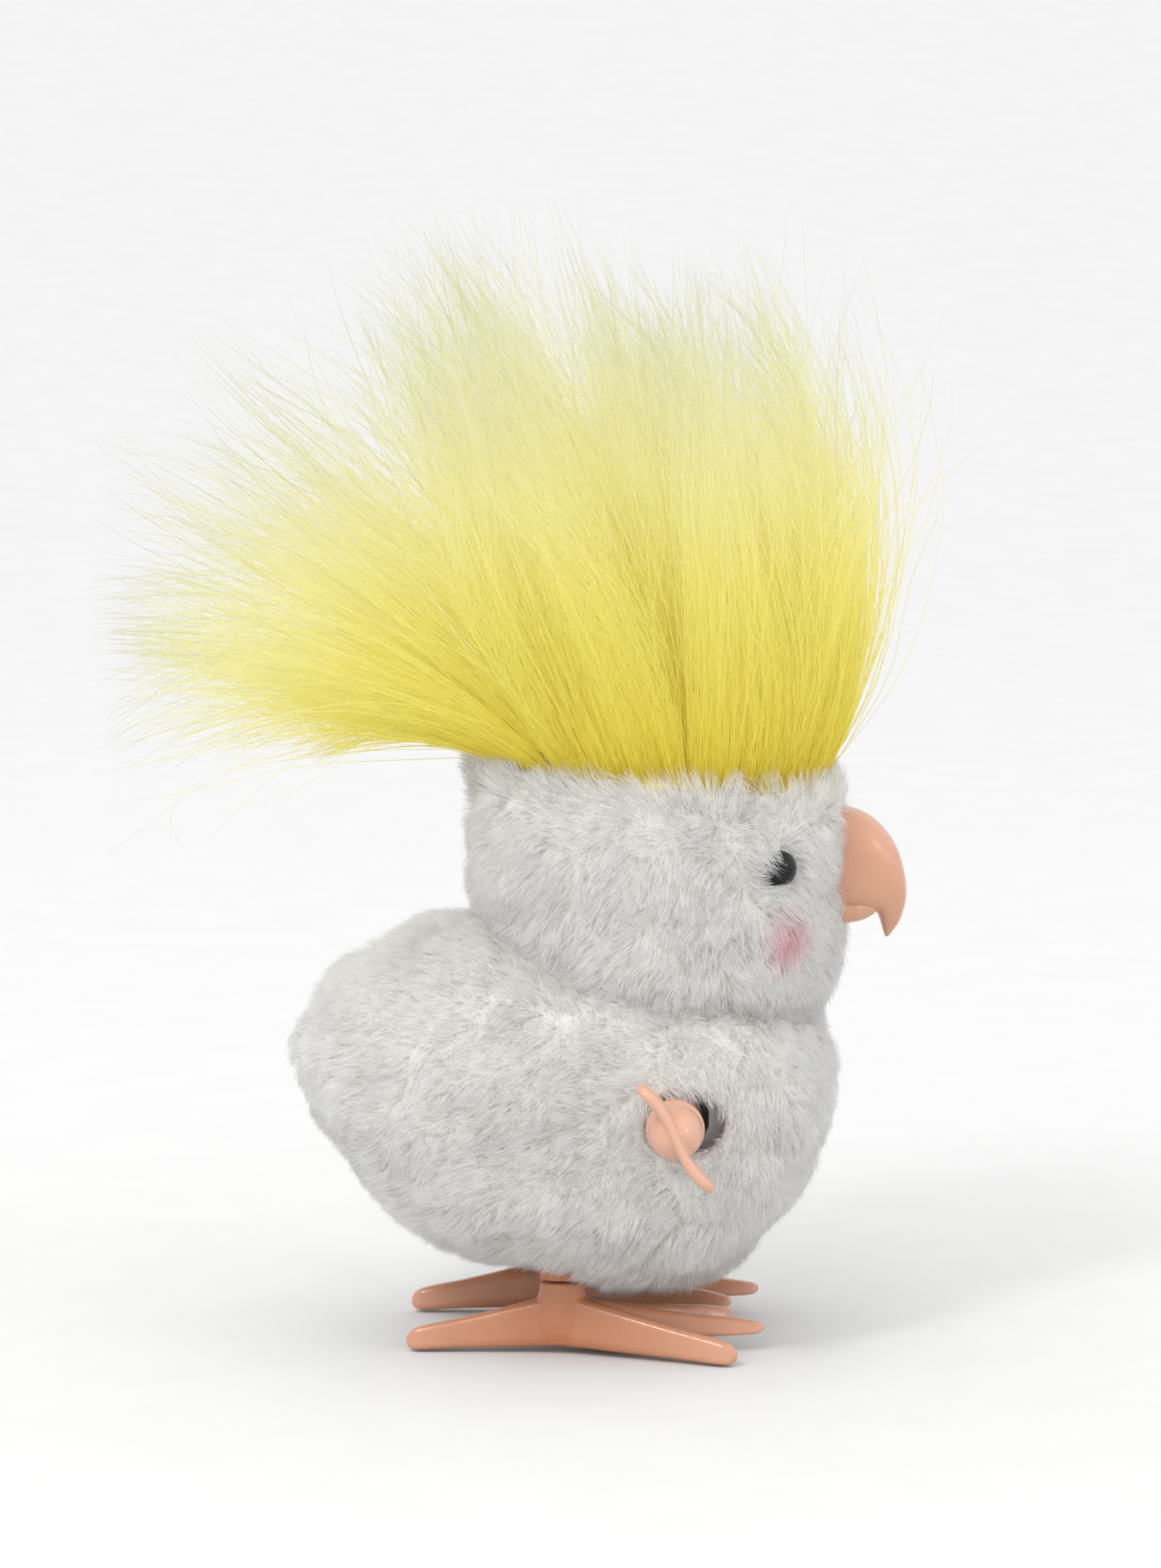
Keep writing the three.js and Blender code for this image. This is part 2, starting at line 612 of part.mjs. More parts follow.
function mainspring() {
  const perTurn = 14;
  const steps = SPRING_TURNS * perTurn;
  const start = ARBOR_RADIUS + SPRING_THICKNESS + GAP;
  const outside = [];
  const inside = [];
  for (let i = 0; i <= steps; i += 1) {
    const angle = TAU * i / perTurn;
    const radius = start + (SPRING_RADIUS - start) * i / steps;
    inside.push(around(KEY_AXIS, radius - SPRING_THICKNESS, angle));
    outside.push(around(KEY_AXIS, radius, angle));
  }
  return solid(plate(polygon([...outside, ...inside.reverse()]), ...SPRING_Y));
}

function intermediateWheel() {
  return gear(INTERMEDIATE_AXIS, PINION_TEETH, INTERMEDIATE_PINION_Y, intermediateFirst)
    .add(gear(INTERMEDIATE_AXIS, INTERMEDIATE_TEETH, INTERMEDIATE_WHEEL_Y, intermediateFirst))
    .subtract(solid(bar(INTERMEDIATE_AXIS, PIN_RADIUS + RUNNING, -12, 12)));
}

function crankWheel() {
  return gear(CRANK_AXIS, PINION_TEETH, CRANK_PINION_Y, crankFirst)
    .add(gear(CRANK_AXIS, CRANK_TEETH, CRANK_WHEEL_Y, crankFirst))
    .add(solid(bar(CRANK_AXIS, CRANK_SHAFT_RADIUS, ...CRANK_SHAFT_Y)));
}

// A disc on the end of the crank shaft, with the crank pin standing towards the rocker
function crankDisc() {
  const pin = [CRANK_AXIS[0], CRANK_AXIS[1] + CRANK_THROW];
  const [low, high] = CRANK_DISC_Y;
  return solid(bar(CRANK_AXIS, CRANK_DISC_RADIUS, low, high))
    .subtract(solid(bar(CRANK_AXIS, CRANK_SHAFT_RADIUS + GAP / 2, low - 1, high + 1)))
    .add(solid(bar(pin, CRANK_PIN_RADIUS, high - 0.2, CRANK_PIN_END_Y, 12)));
}

function escapeWheel() {
  const step = TAU / ESCAPE_TEETH;
  const points = [];
  for (let i = 0; i < ESCAPE_TEETH; i += 1) {
    points.push(around(ESCAPE_AXIS, ESCAPE_RADIUS - 1.1, i * step));
    points.push(around(ESCAPE_AXIS, ESCAPE_RADIUS, (i + 0.25) * step));
    points.push(around(ESCAPE_AXIS, ESCAPE_RADIUS - 1, (i + 0.45) * step));
  }
  return gear(ESCAPE_AXIS, ESCAPE_PINION_TEETH, ESCAPE_PINION_Y, escapeFirst)
    .add(solid(plate(polygon(points), ...ESCAPE_WHEEL_Y)))
    .subtract(solid(bar(ESCAPE_AXIS, PIN_RADIUS + RUNNING, -12, 12)));
}

// Two arms that reach round the escape wheel, clear of it by the swing
function pallet() {
  const inner = ESCAPE_RADIUS + 1.05;
  const outer = inner + PALLET_ARM;
  const middle = direction(ESCAPE_AXIS, PALLET_AXIS);
  const ends = [middle - PALLET_SPREAD, middle + PALLET_SPREAD];
  const arms = new THREE.Shape();
  arms.absarc(...ESCAPE_AXIS, outer, ends[0], ends[1], false);
  arms.absarc(...ESCAPE_AXIS, inner, ends[1], ends[0], true);
  return solid(plate(arms, ...PALLET_Y))
    .add(solid(bar(PALLET_AXIS, 1.9, ...PALLET_HUB_Y, 16)))
    .subtract(solid(bar(PALLET_AXIS, PIN_RADIUS + RUNNING, -12, 12)));
}

// ---------------------------------------------------------------- motor case

// The rounded outline that surrounds every axis of the clockwork, as a thick plate
function caseBlock(grow, yLow, yHigh) {
  const rounds = [
    [KEY_AXIS, 10.8], [HIP_AXIS, 4.6], [INTERMEDIATE_AXIS, 9.6], [PALLET_AXIS, 4.6],
    ...CASE_SCREWS.map((axis) => [axis, 2.9]),
  ];
  const points = [];
  for (const [axis, radius] of rounds) {
    for (let k = 0; k < 16; k += 1) {
      const [x, z] = around(axis, radius + grow, TAU * k / 16);
      points.push(new THREE.Vector3(x, yLow, z), new THREE.Vector3(x, yHigh, z));
    }
  }
  return solid(new ConvexGeometry(points));
}

function caseHalf(side) {
  const inner = CASE_HALF_WIDTH - CASE_WALL;
  const span = (from, to) => (side > 0 ? [from, to] : [-to, -from]);
  const outside = caseBlock(0, ...span(GAP / 2, CASE_HALF_WIDTH));
  const shell = outside.subtract(caseBlock(-CASE_WALL, ...span(-1, inner)));
  const post = (axis) => solid(bar(axis, CASE_POST_RADIUS, ...span(GAP / 2, inner + 0.2), 10));
  const pins = [INTERMEDIATE_AXIS, ESCAPE_AXIS, PALLET_AXIS].map((axis) => [axis, PIN_RADIUS + GAP / 2]);
  const shafts = [
    [KEY_AXIS, ARBOR_RADIUS + 0.5],
    [HIP_AXIS, HIP_AXLE_RADIUS + RUNNING],
    [CRANK_AXIS, CRANK_SHAFT_RADIUS + RUNNING],
  ];
  const holes = [...pins, ...shafts].map(([axis, radius]) => solid(bar(axis, radius, ...span(5, 20))));
  const screwHoles = CASE_SCREWS.map((axis) => solid(bar(axis, CASE_SCREW.shank + 0.2, -8, 12, 8)));
  const seat = CASE_HALF_WIDTH - CASE_SCREW_SEAT;
  const seats = CASE_SCREWS.map((axis) => solid(bar(axis, CASE_SCREW.head + GAP, seat, 12, 10)));
  return shell.add(unite(CASE_SCREWS.map(post))).subtract(unite([...holes, ...screwHoles, ...seats]));
}

// ---------------------------------------------------------------- key, legs and feet

function keyPlate() {
  const x = KEY_PLATE_LENGTH / 2 - KEY_PLATE_CORNER;
  const z = KEY_PLATE_DEPTH / 2 - KEY_PLATE_CORNER;
  const quarter = Math.PI / 2;
  const outline = new THREE.Shape();
  outline.absarc(x, z, KEY_PLATE_CORNER, 0, quarter, false);
  outline.absarc(-x, z, KEY_PLATE_CORNER, quarter, 2 * quarter, false);
  outline.absarc(-x, -z, KEY_PLATE_CORNER, 2 * quarter, 3 * quarter, false);
  outline.absarc(x, -z, KEY_PLATE_CORNER, 3 * quarter, 4 * quarter, false);
  const bevel = KEY_PLATE_BEVEL;
  const geometry = new THREE.ExtrudeGeometry(outline, {
    depth: KEY_PLATE_THICKNESS - 2 * bevel, bevelThickness: bevel, bevelSize: bevel, bevelOffset: -bevel,
    bevelSegments: 1, curveSegments: 3,
  });
  const lay = new THREE.Matrix4().makeBasis(
    new THREE.Vector3(Math.cos(KEY_LEAN), 0, Math.sin(KEY_LEAN)),
    new THREE.Vector3(0, -1, 0),
    new THREE.Vector3(Math.sin(KEY_LEAN), 0, -Math.cos(KEY_LEAN)),
  );
  geometry.translate(0, 0, bevel - KEY_PLATE_THICKNESS / 2).applyMatrix4(lay);
  return geometry.translate(KEY_AXIS[0], KEY_TIP_Y + KEY_PLATE_DEPTH / 2, KEY_AXIS[1]);
}

function key() {
  const [x, z] = KEY_AXIS;
  const half = KEY_SOCKET / 2;
  const dome = new THREE.SphereGeometry(KEY_HUB_RADIUS, 20, 8).scale(1, 0.45, 1);
  return solid(bar(KEY_AXIS, KEY_HUB_RADIUS, ...KEY_HUB_Y, 20))
    .add(solid(dome.translate(x, KEY_HUB_Y[0], z)))
    .add(solid(bar(KEY_AXIS, KEY_HUB_RADIUS + 0.4, ...KEY_COLLAR_Y, 20)))
    .add(solid(keyPlate()))
    .subtract(solid(block([x - half, -31.3, z - half], [x + half, -10, z + half])));
}

function leg(side) {
  const outline = new THREE.Shape();
  const half = LEG_WIDTH / 2;
  const foot = LEG_SEAM_Z + GAP / 2;
  outline.moveTo(half, foot);
  outline.lineTo(half, foot + 5);
  outline.lineTo(4, HIP_AXIS[1] - 1);
  outline.absarc(...HIP_AXIS, 4.1, -0.2, Math.PI + 0.2, false);
  outline.lineTo(-half, foot + 5);
  outline.lineTo(-half, foot);
  const y = side * LEG_Y;
  const oval = new THREE.CylinderGeometry(1, 1, 40, 14).rotateX(Math.PI / 2);
  const shaft = solid(plate(outline, y - LEG_THICKNESS / 2, y + LEG_THICKNESS / 2));
  oval.scale(half, LEG_THICKNESS / 2, 1).translate(0, y, 0);
  const round = solid(oval).add(solid(block([-9, y - 9, foot + 4.5], [9, y + 9, 40])));
  const tenon = solid(block([-1.6, y - 0.8, LEG_SEAM_Z - 3.4], [1.6, y + 0.8, foot + 1]));
  const hole = solid(bar(HIP_AXIS, HIP_AXLE_RADIUS + GAP / 2, -20, 20));
  return shaft.intersect(round).add(tenon).subtract(hole);
}

// Half of a toe's cross section: outward as a share of its half width, upward as a share of its height
const TOE_SECTION = [[0.75, 0], [1, 0.34], [0.5, 0.84]];

// A toe from the ankle to its tip: a thick blade with a ridge on top and a soft end
function toe({ ahead, outward, lift }, side) {
  const tip = new THREE.Vector2(ahead, side * outward);
  const across = new THREE.Vector2(-tip.y, tip.x).normalize();
  const stations = [
    { at: 0, half: 2.9, low: 0.9, high: 7.2 },
    { at: 0.16, half: 2.7, low: 0.8, high: 6.4 },
    { at: 0.28, half: 2.4, low: 0.7, high: 5.8 },
    { at: 0.47, half: 2, low: 0.6 + 0.5 * lift, high: 4.7 + 0.15 * lift },
    { at: 0.66, half: 1.8, low: 0.4 + 0.7 * lift, high: 3.9 + 0.3 * lift },
    { at: 0.88, half: 1.9, low: lift - 0.25, high: 3.1 + 0.45 * lift },
    { at: 0.97, half: 1.4, low: lift - 0.1, high: 2.6 + 0.5 * lift },
    { at: 1, half: 0.6, low: lift + 0.7, high: 1.9 + 0.6 * lift },
  ];
  const ring = ({ at, half, low, high }) => {
    const right = TOE_SECTION.map(([out, up]) => [out, low + up * (high - low)]);
    const left = right.map(([out, z]) => [-out, z]).reverse();
    return [...right, [0, high], ...left].map(([out, z]) => new THREE.Vector3(
      tip.x * at + across.x * out * half,
      side * LEG_Y + tip.y * at + across.y * out * half,
      z,
    ));
  };
  return solid(loft(stations.map(ring)));
}

function foot(side) {
  const y = side * LEG_Y;
  const ring = ([z, grow]) => Array.from({ length: ANKLE_SIDES }, (_, k) => new THREE.Vector3(
    grow * LEG_WIDTH / 2 * Math.cos(TAU * k / ANKLE_SIDES),
    y + grow * LEG_THICKNESS / 2 * Math.sin(TAU * k / ANKLE_SIDES),
    z,
  ));
  const ankle = solid(loft(ANKLE_RINGS.map(ring)));
  const toes = TOES.map((shape) => toe(shape, side));
  const aboveGround = solid(block([-50, -50, 0], [50, 50, 50]));
  const socket = solid(block([-1.9, y - 1.1, LEG_SEAM_Z - 3.7], [1.9, y + 1.1, 20]));
  return unite([ankle, ...toes]).intersect(aboveGround).subtract(socket);
}

// A hub on the hip axle and a slotted arm up to the crank
function rocker() {
  const [x, z] = HIP_AXIS;
  const slotHalfWidth = CRANK_PIN_RADIUS + 0.15;
  const slotLow = CRANK_AXIS[1] - CRANK_THROW - 1;
  const slotHigh = CRANK_AXIS[1] + CRANK_THROW + 1;
  const top = slotHigh + 1.4;
  const arm = polygon([[x - 2.6, z], [x - 1.9, top], [x + 1.9, top], [x + 2.6, z]]);
  return solid(plate(arm, ...ROCKER_Y))
    .add(solid(bar(HIP_AXIS, 3, ROCKER_HUB_Y, ROCKER_Y[1])))
    .subtract(solid(bar(HIP_AXIS, HIP_AXLE_RADIUS + GAP / 2, 0, 12)))
    .subtract(solid(block([x - slotHalfWidth, 6, slotLow], [x + slotHalfWidth, 10, slotHigh])));
}

// ---------------------------------------------------------------- the assembly

const materials = Object.fromEntries(Object.entries(COLOURS).map(
  ([name, look]) => [name, new THREE.MeshStandardMaterial({ name, ...look })],
));

const bird = new THREE.Group();

function add(name, shape, look) {
  const geometry = shape instanceof wasm.Manifold ? surface(shape) : closed(shape);
  const mesh = new THREE.Mesh(geometry, materials[look]);
  mesh.name = name;
  bird.add(mesh);
}

add("plush_body", plushBody(), "white_plush");
add("plush_head", plushHead(), "white_plush");
add("crest_backing", crestBacking(), "yellow_backing");
add("crest_pile", crestPile(), "yellow_pile");
add("shell_right", shellHalf(-1), "shell_plastic");
add("shell_left", shellHalf(1), "shell_plastic");
const shellHeadY = SHELL_SCREW_SEAT_Y + 0.4;
SHELL_SCREWS.forEach((axis, i) => add(`shell_screw_${i + 1}`, screw(axis, shellHeadY, SHELL_SCREW), "steel"));
add("beak", beak(), "peach_plastic");
add("beak_washer", washer(5, BEAK_STEM_RADIUS + GAP, BEAK_STEM_Z, 0), "steel");
for (const [name, side] of [["right", -1], ["left", 1]]) {
  add(`eye_${name}`, eye(side), "black_bead");
  add(`eye_washer_${name}`, washer(2.6, STEM_RADIUS + GAP, EYE_Z, eyeTurn(side)), "steel");
}
add("motor_case_right", caseHalf(-1), "case_plastic");
add("motor_case_left", caseHalf(1), "case_plastic");
const caseHeadY = CASE_HALF_WIDTH - CASE_SCREW_SEAT + GAP / 2;
CASE_SCREWS.forEach((axis, i) => add(`case_screw_${i + 1}`, screw(axis, caseHeadY, CASE_SCREW), "steel"));
add("mainspring", mainspring(), "spring_steel");
for (const [name, axis] of [
  ["intermediate", INTERMEDIATE_AXIS],
  ["escape", ESCAPE_AXIS],
  ["pallet", PALLET_AXIS],
]) {
  add(`${name}_pin`, bar(axis, PIN_RADIUS, -10, 10, 10), "steel");
}
add("key", key(), "peach_plastic");
add("winding_arbor", windingArbor(), "steel");
add("great_wheel", greatWheel(), "gear_plastic");
add("intermediate_wheel", intermediateWheel(), "gear_plastic");
add("crank_wheel", crankWheel(), "gear_plastic");
add("crank_disc", crankDisc(), "gear_plastic");
add("escape_wheel", escapeWheel(), "gear_plastic");
add("pallet", pallet(), "gear_plastic");
add("hip_axle", bar(HIP_AXIS, HIP_AXLE_RADIUS, -HIP_AXLE_HALF_LENGTH, HIP_AXLE_HALF_LENGTH), "steel");
add("rocker", rocker(), "rocker_plastic");
for (const [name, side] of [["right", -1], ["left", 1]]) {
  add(`leg_${name}`, leg(side), "peach_plastic");
  add(`foot_${name}`, foot(side), "peach_plastic");
}

export default bird;
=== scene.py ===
"""Looks of the wind-up hopping bird, in metres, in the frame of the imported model.

The plush is real geometry: a fabric skin with thousands of tapered fibres on it. The crest is the same,
with long fibres. Plastic parts are lofted or blended from sections, and the clockwork keeps its CAD shapes.
"""
import json
import math

import bmesh
import bpy
import numpy as np
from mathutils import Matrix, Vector
from mathutils.kdtree import KDTree


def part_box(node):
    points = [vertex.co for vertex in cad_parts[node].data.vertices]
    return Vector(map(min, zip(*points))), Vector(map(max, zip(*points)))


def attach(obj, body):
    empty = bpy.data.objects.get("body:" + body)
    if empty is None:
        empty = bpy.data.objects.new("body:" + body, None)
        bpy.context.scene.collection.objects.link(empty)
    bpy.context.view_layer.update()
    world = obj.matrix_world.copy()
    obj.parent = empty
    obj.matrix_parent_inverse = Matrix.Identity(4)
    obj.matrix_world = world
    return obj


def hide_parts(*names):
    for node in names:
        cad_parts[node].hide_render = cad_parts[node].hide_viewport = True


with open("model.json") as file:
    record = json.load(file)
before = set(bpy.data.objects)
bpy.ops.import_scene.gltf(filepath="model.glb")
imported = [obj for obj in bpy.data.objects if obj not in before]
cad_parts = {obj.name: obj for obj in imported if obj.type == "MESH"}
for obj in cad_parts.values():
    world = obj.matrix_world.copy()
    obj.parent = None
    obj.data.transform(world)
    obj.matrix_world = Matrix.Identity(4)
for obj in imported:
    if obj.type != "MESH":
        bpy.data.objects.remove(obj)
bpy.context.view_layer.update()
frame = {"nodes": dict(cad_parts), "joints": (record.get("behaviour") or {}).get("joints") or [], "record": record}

MM = 0.001
TAU = 2 * math.pi
PIECE_TRIANGLES = 190000  # the most triangles in one fur piece; keeps each fur piece within what one mesh file may hold

X = np.array([1.0, 0.0, 0.0])
Y = np.array([0.0, 1.0, 0.0])
Z = np.array([0.0, 0.0, 1.0])


# ---------------------------------------------------------------- places taken from the frame


def middle(node):
    low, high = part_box(node)
    return np.array((low + high) / 2)


head_low, head_high = (np.array(corner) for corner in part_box("plush_head"))
body_low, body_high = (np.array(corner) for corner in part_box("plush_body"))
HEAD_X = (head_low[0] + head_high[0]) / 2
HEAD_RADIUS = (head_high[1] - head_low[1]) / 2
HEAD_BASE = head_high[2] - 36 * MM
CROWN_Z = head_high[2] - 2 * MM
CROWN_SLOPE = math.tan(math.radians(4.5))  # the top of the head falls to the front
KEY_JOINT = next(j for j in frame["joints"] if j["name"] == "key_turn")
KEY_AXIS = np.array(KEY_JOINT["pos_m"])
HOLE_CENTRE = KEY_AXIS + X * 1.5 * MM
HOLE_HALF_LENGTH = 5.5 * MM
HOLE_HALF_HEIGHT = 4.3 * MM
SLOT_HALF_LENGTH = 6.6 * MM
SLOT_HALF_WIDTH = 2.7 * MM
NECK = np.array([HEAD_X, 0, 53 * MM])
NECK_NORMAL = np.array([math.sin(math.radians(14)), 0, math.cos(math.radians(14))])


# ---------------------------------------------------------------- small maths


def unit(vectors):
    return vectors / np.maximum(np.linalg.norm(vectors, axis=-1, keepdims=True), 1e-12)


def waves(points, size, seed):
    """A smooth random value from about -1 to 1 at each point, with bumps of about this size."""
    count = 9
    rng = np.random.default_rng(seed)
    directions = unit(rng.normal(size=(count, 3)))
    speeds = TAU / size * rng.uniform(0.6, 1.3, count)
    phases = rng.uniform(0, TAU, count)
    total = np.zeros(len(points))
    for direction, speed, phase in zip(directions, speeds, phases):
        total += np.sin(points @ direction * speed + phase)
    return total / math.sqrt(count)


def curve_between(a, b, c, d, t):
    """Points from b to c on the smooth curve that also passes a and d."""
    return 0.5 * (2 * b + (c - a) * t + (2 * a - 5 * b + 4 * c - d) * t**2 + (3 * b - a - 3 * c + d) * t**3)


def closed_curve(points, count):
    """Evenly spaced points on a smooth closed curve through the given ones."""
    points = np.array(points, float)
    steps = 24
    t = np.linspace(0, 1, steps, endpoint=False)[:, None]
    a, b, c, d = (np.roll(points, shift, axis=0)[:, None] for shift in (1, 0, -1, -2))
    fine = curve_between(a, b, c, d, t).reshape(-1, points.shape[1])
    return resample(np.vstack([fine, fine[:1]]), count + 1)[:-1]


def open_curve(points, count):
    """Evenly spaced points on a smooth curve from the first given point to the last."""
    points = np.array(points, float)
    padded = np.vstack([2 * points[0] - points[1], points, 2 * points[-1] - points[-2]])
    t = np.linspace(0, 1, 16, endpoint=False)[:, None]
    pieces = [curve_between(*four, t) for four in zip(padded, padded[1:], padded[2:], padded[3:])]
    return resample(np.vstack([*pieces, points[-1:]]), count)


def resample(points, count):
    along = np.concatenate([[0], np.cumsum(np.linalg.norm(np.diff(points, axis=0), axis=1))])
    wanted = np.linspace(0, along[-1], count)
    return np.stack([np.interp(wanted, along, points[:, k]) for k in range(points.shape[1])], axis=1)


# ---------------------------------------------------------------- mesh making


def mesh_object(name, vertices, faces):
    """An object from an array of points and arrays of faces, each array with one number of corners."""
    mesh = bpy.data.meshes.new(name)
    corners = np.concatenate([f.ravel() for f in faces]).astype(np.int32)
    sizes = np.concatenate([np.full(len(f), f.shape[1]) for f in faces])
    starts = np.concatenate([[0], np.cumsum(sizes)[:-1]]).astype(np.int32)
    mesh.vertices.add(len(vertices))
    mesh.vertices.foreach_set("co", np.asarray(vertices, np.float32).ravel())
    mesh.loops.add(len(corners))
    mesh.loops.foreach_set("vertex_index", corners)
    mesh.polygons.add(len(sizes))
    mesh.polygons.foreach_set("loop_start", starts)
    mesh.update(calc_edges=True)
    mesh.polygons.foreach_set("use_smooth", np.full(len(sizes), True))
    made = bpy.data.objects.new(name, mesh)
    bpy.context.scene.collection.objects.link(made)
    return made


def grid_faces(rows, columns, wrap):
    """Quads over a grid of points, row by row. wrap joins the last column to the first."""
    across = columns if wrap else columns - 1
    r, c = np.meshgrid(np.arange(rows - 1), np.arange(across), indexing="ij")
    r, c = r.ravel(), c.ravel()
    nxt = (c + 1) % columns
    here, below = r * columns, (r + 1) * columns
    return np.stack([here + c, here + nxt, below + nxt, below + c], axis=1)


def loft(name, rings):
    """A closed skin over rings of points, with a fan at each end."""
    rings = np.asarray(rings, float)
    rows, columns = rings.shape[:2]
    points = np.vstack([rings.reshape(-1, 3), rings[0].mean(0), rings[-1].mean(0)])
    ring = np.arange(columns)
    nxt = (ring + 1) % columns
    first = np.stack([nxt, ring, np.full(columns, rows * columns)], axis=1)
    start = (rows - 1) * columns
    last = np.stack([start + ring, start + nxt, np.full(columns, rows * columns + 1)], axis=1)
    made = mesh_object(name, points, [grid_faces(rows, columns, True), first, last])
    fix_winding(made)
    return made


def fix_winding(made):
    """Turns the faces outward if the shape is inside out."""
    mesh = made.data
    mesh.calc_loop_triangles()
    corners = np.empty(len(mesh.loop_triangles) * 3, np.int32)
    mesh.loop_triangles.foreach_get("vertices", corners)
    points = np.empty(len(mesh.vertices) * 3, np.float32)
    mesh.vertices.foreach_get("co", points)
    a, b, c = points.reshape(-1, 3)[corners.reshape(-1, 3)].transpose(1, 0, 2)
    if np.einsum("ij,ij->i", a, np.cross(b, c)).sum() < 0:
        mesh.flip_normals()


def modified(made, kind, **settings):
    modifier = made.modifiers.new(kind.title(), kind)
    for key, value in settings.items():
        setattr(modifier, key, value)


def apply_modifiers(made):
    depsgraph = bpy.context.evaluated_depsgraph_get()
    mesh = bpy.data.meshes.new_from_object(made.evaluated_get(depsgraph), depsgraph=depsgraph)
    old = made.data
    made.modifiers.clear()
    made.data = mesh
    bpy.data.meshes.remove(old)


def joined(name, parts):
    """One object from several."""
    blend = bmesh.new()
    for part in parts:
        blend.from_mesh(part.data)
        mesh = part.data
        bpy.data.objects.remove(part)
        bpy.data.meshes.remove(mesh)
    mesh = bpy.data.meshes.new(name)
    blend.to_mesh(mesh)
    blend.free()
    made = bpy.data.objects.new(name, mesh)
    bpy.context.scene.collection.objects.link(made)
    return made


def moulded(made, voxel, rounds):
    """Blends a joined shape into one moulding with soft inner corners."""
    modified(made, "REMESH", mode="VOXEL", voxel_size=voxel, use_smooth_shade=True)
    modified(made, "SMOOTH", factor=0.5, iterations=rounds)
    apply_modifiers(made)


# ---------------------------------------------------------------- materials


def material(name, colour, roughness, **inputs):
    """A Principled material. Returns it, its tree and its shader."""
    made = bpy.data.materials.new(name)
    made.use_nodes = True
    shader = made.node_tree.nodes["Principled BSDF"]
    shader.inputs["Base Color"].default_value = (*colour, 1)
    shader.inputs["Roughness"].default_value = roughness
    for key, value in inputs.items():
        shader.inputs[key.replace("_", " ")].default_value = value
    return made, made.node_tree, shader


def node(tree, kind, **settings):
    made = tree.nodes.new("ShaderNode" + kind)
    for key, value in settings.items():
        setattr(made, key, value)
    return made


def ramp(tree, value, stops):
    made = node(tree, "ValToRGB")
    elements = made.color_ramp.elements
    while len(elements) < len(stops):
        elements.new(0.5)
    for element, (position, colour) in zip(elements, stops):
        element.position = position
        element.color = (*colour, 1)
    tree.links.new(value, made.inputs["Fac"])
    return made.outputs["Color"]


def noise(tree, scale, detail=3.0):
    made = node(tree, "TexNoise")
    made.inputs["Scale"].default_value = scale
    made.inputs["Detail"].default_value = detail
    place = node(tree, "TexCoord")
    tree.links.new(place.outputs["Object"], made.inputs["Vector"])
    return made.outputs["Fac"]


def bump(tree, shader, height, distance, strength=1.0):
    made = node(tree, "Bump")
    made.inputs["Strength"].default_value = strength
    made.inputs["Distance"].default_value = distance
    tree.links.new(height, made.inputs["Height"])
    tree.links.new(made.outputs["Normal"], shader.inputs["Normal"])


def plastic(name, dark, light, roughness, **inputs):
    """Moulded plastic: faint cloudiness in colour and gloss, and a trace of surface waviness."""
    made, tree, shader = material(name, light, roughness, **inputs)
    cloud, scuff, wave = 120, 360, 960
    shades = [(0.3, dark), (0.7, light)]
    tree.links.new(ramp(tree, noise(tree, cloud, 4), shades), shader.inputs["Base Color"])
    spread = 0.05
    glosses = [(0.35, (roughness - spread,) * 3), (0.65, (roughness + spread,) * 3)]
    tree.links.new(ramp(tree, noise(tree, scuff, 5), glosses), shader.inputs["Roughness"])
    bump(tree, shader, noise(tree, wave, 2), 0.02 * MM)
    return made


def steel(name, dark, light, roughness):
    made, tree, shader = material(name, light, roughness, Metallic=1.0)
    tree.links.new(ramp(tree, noise(tree, 900, 6), [(0.3, dark), (0.7, light)]), shader.inputs["Base Color"])
    bump(tree, shader, noise(tree, 3000, 3), 0.01 * MM)
    return made


def fibre(name, tints, along, roughness, translucency):
    """Fibre colour from the fibre's own map: across it the tint of each fibre, along it root to tip.

    tints are ramp stops for the tint, and along are stops that the tint is multiplied by.
    """
    made, tree, shader = material(name, tints[0][1], roughness)
    place = node(tree, "UVMap", uv_map="OFBake")
    split = node(tree, "SeparateXYZ")
    tree.links.new(place.outputs["UV"], split.inputs["Vector"])
    blend = node(tree, "Mix", data_type="RGBA", blend_type="MULTIPLY")
    blend.inputs[0].default_value = 1.0
    tree.links.new(ramp(tree, split.outputs["X"], tints), blend.inputs[6])
    tree.links.new(ramp(tree, split.outputs["Y"], along), blend.inputs[7])
    tree.links.new(blend.outputs[2], shader.inputs["Base Color"])
    through = node(tree, "BsdfTranslucent")
    tree.links.new(blend.outputs[2], through.inputs["Color"])
    mix = node(tree, "MixShader")
    mix.inputs[0].default_value = translucency
    tree.links.new(shader.outputs[0], mix.inputs[1])
    tree.links.new(through.outputs[0], mix.inputs[2])
    tree.links.new(mix.outputs[0], tree.nodes["Material Output"].inputs["Surface"])
    return made


def fabric(name, dark, light):
    """Knitted backing cloth."""
    made, tree, shader = material(name, light, 0.95, Sheen_Weight=0.3)
    tree.links.new(ramp(tree, noise(tree, 700, 5), [(0.3, dark), (0.7, light)]), shader.inputs["Base Color"])
    wave = node(tree, "TexWave", wave_type="BANDS", bands_direction="DIAGONAL")
    wave.inputs["Scale"].default_value = 900
    wave.inputs["Distortion"].default_value = 4
    place = node(tree, "TexCoord")
    tree.links.new(place.outputs["Object"], wave.inputs["Vector"])
    bump(tree, shader, wave.outputs["Fac"], 0.15 * MM, 0.6)
    return made


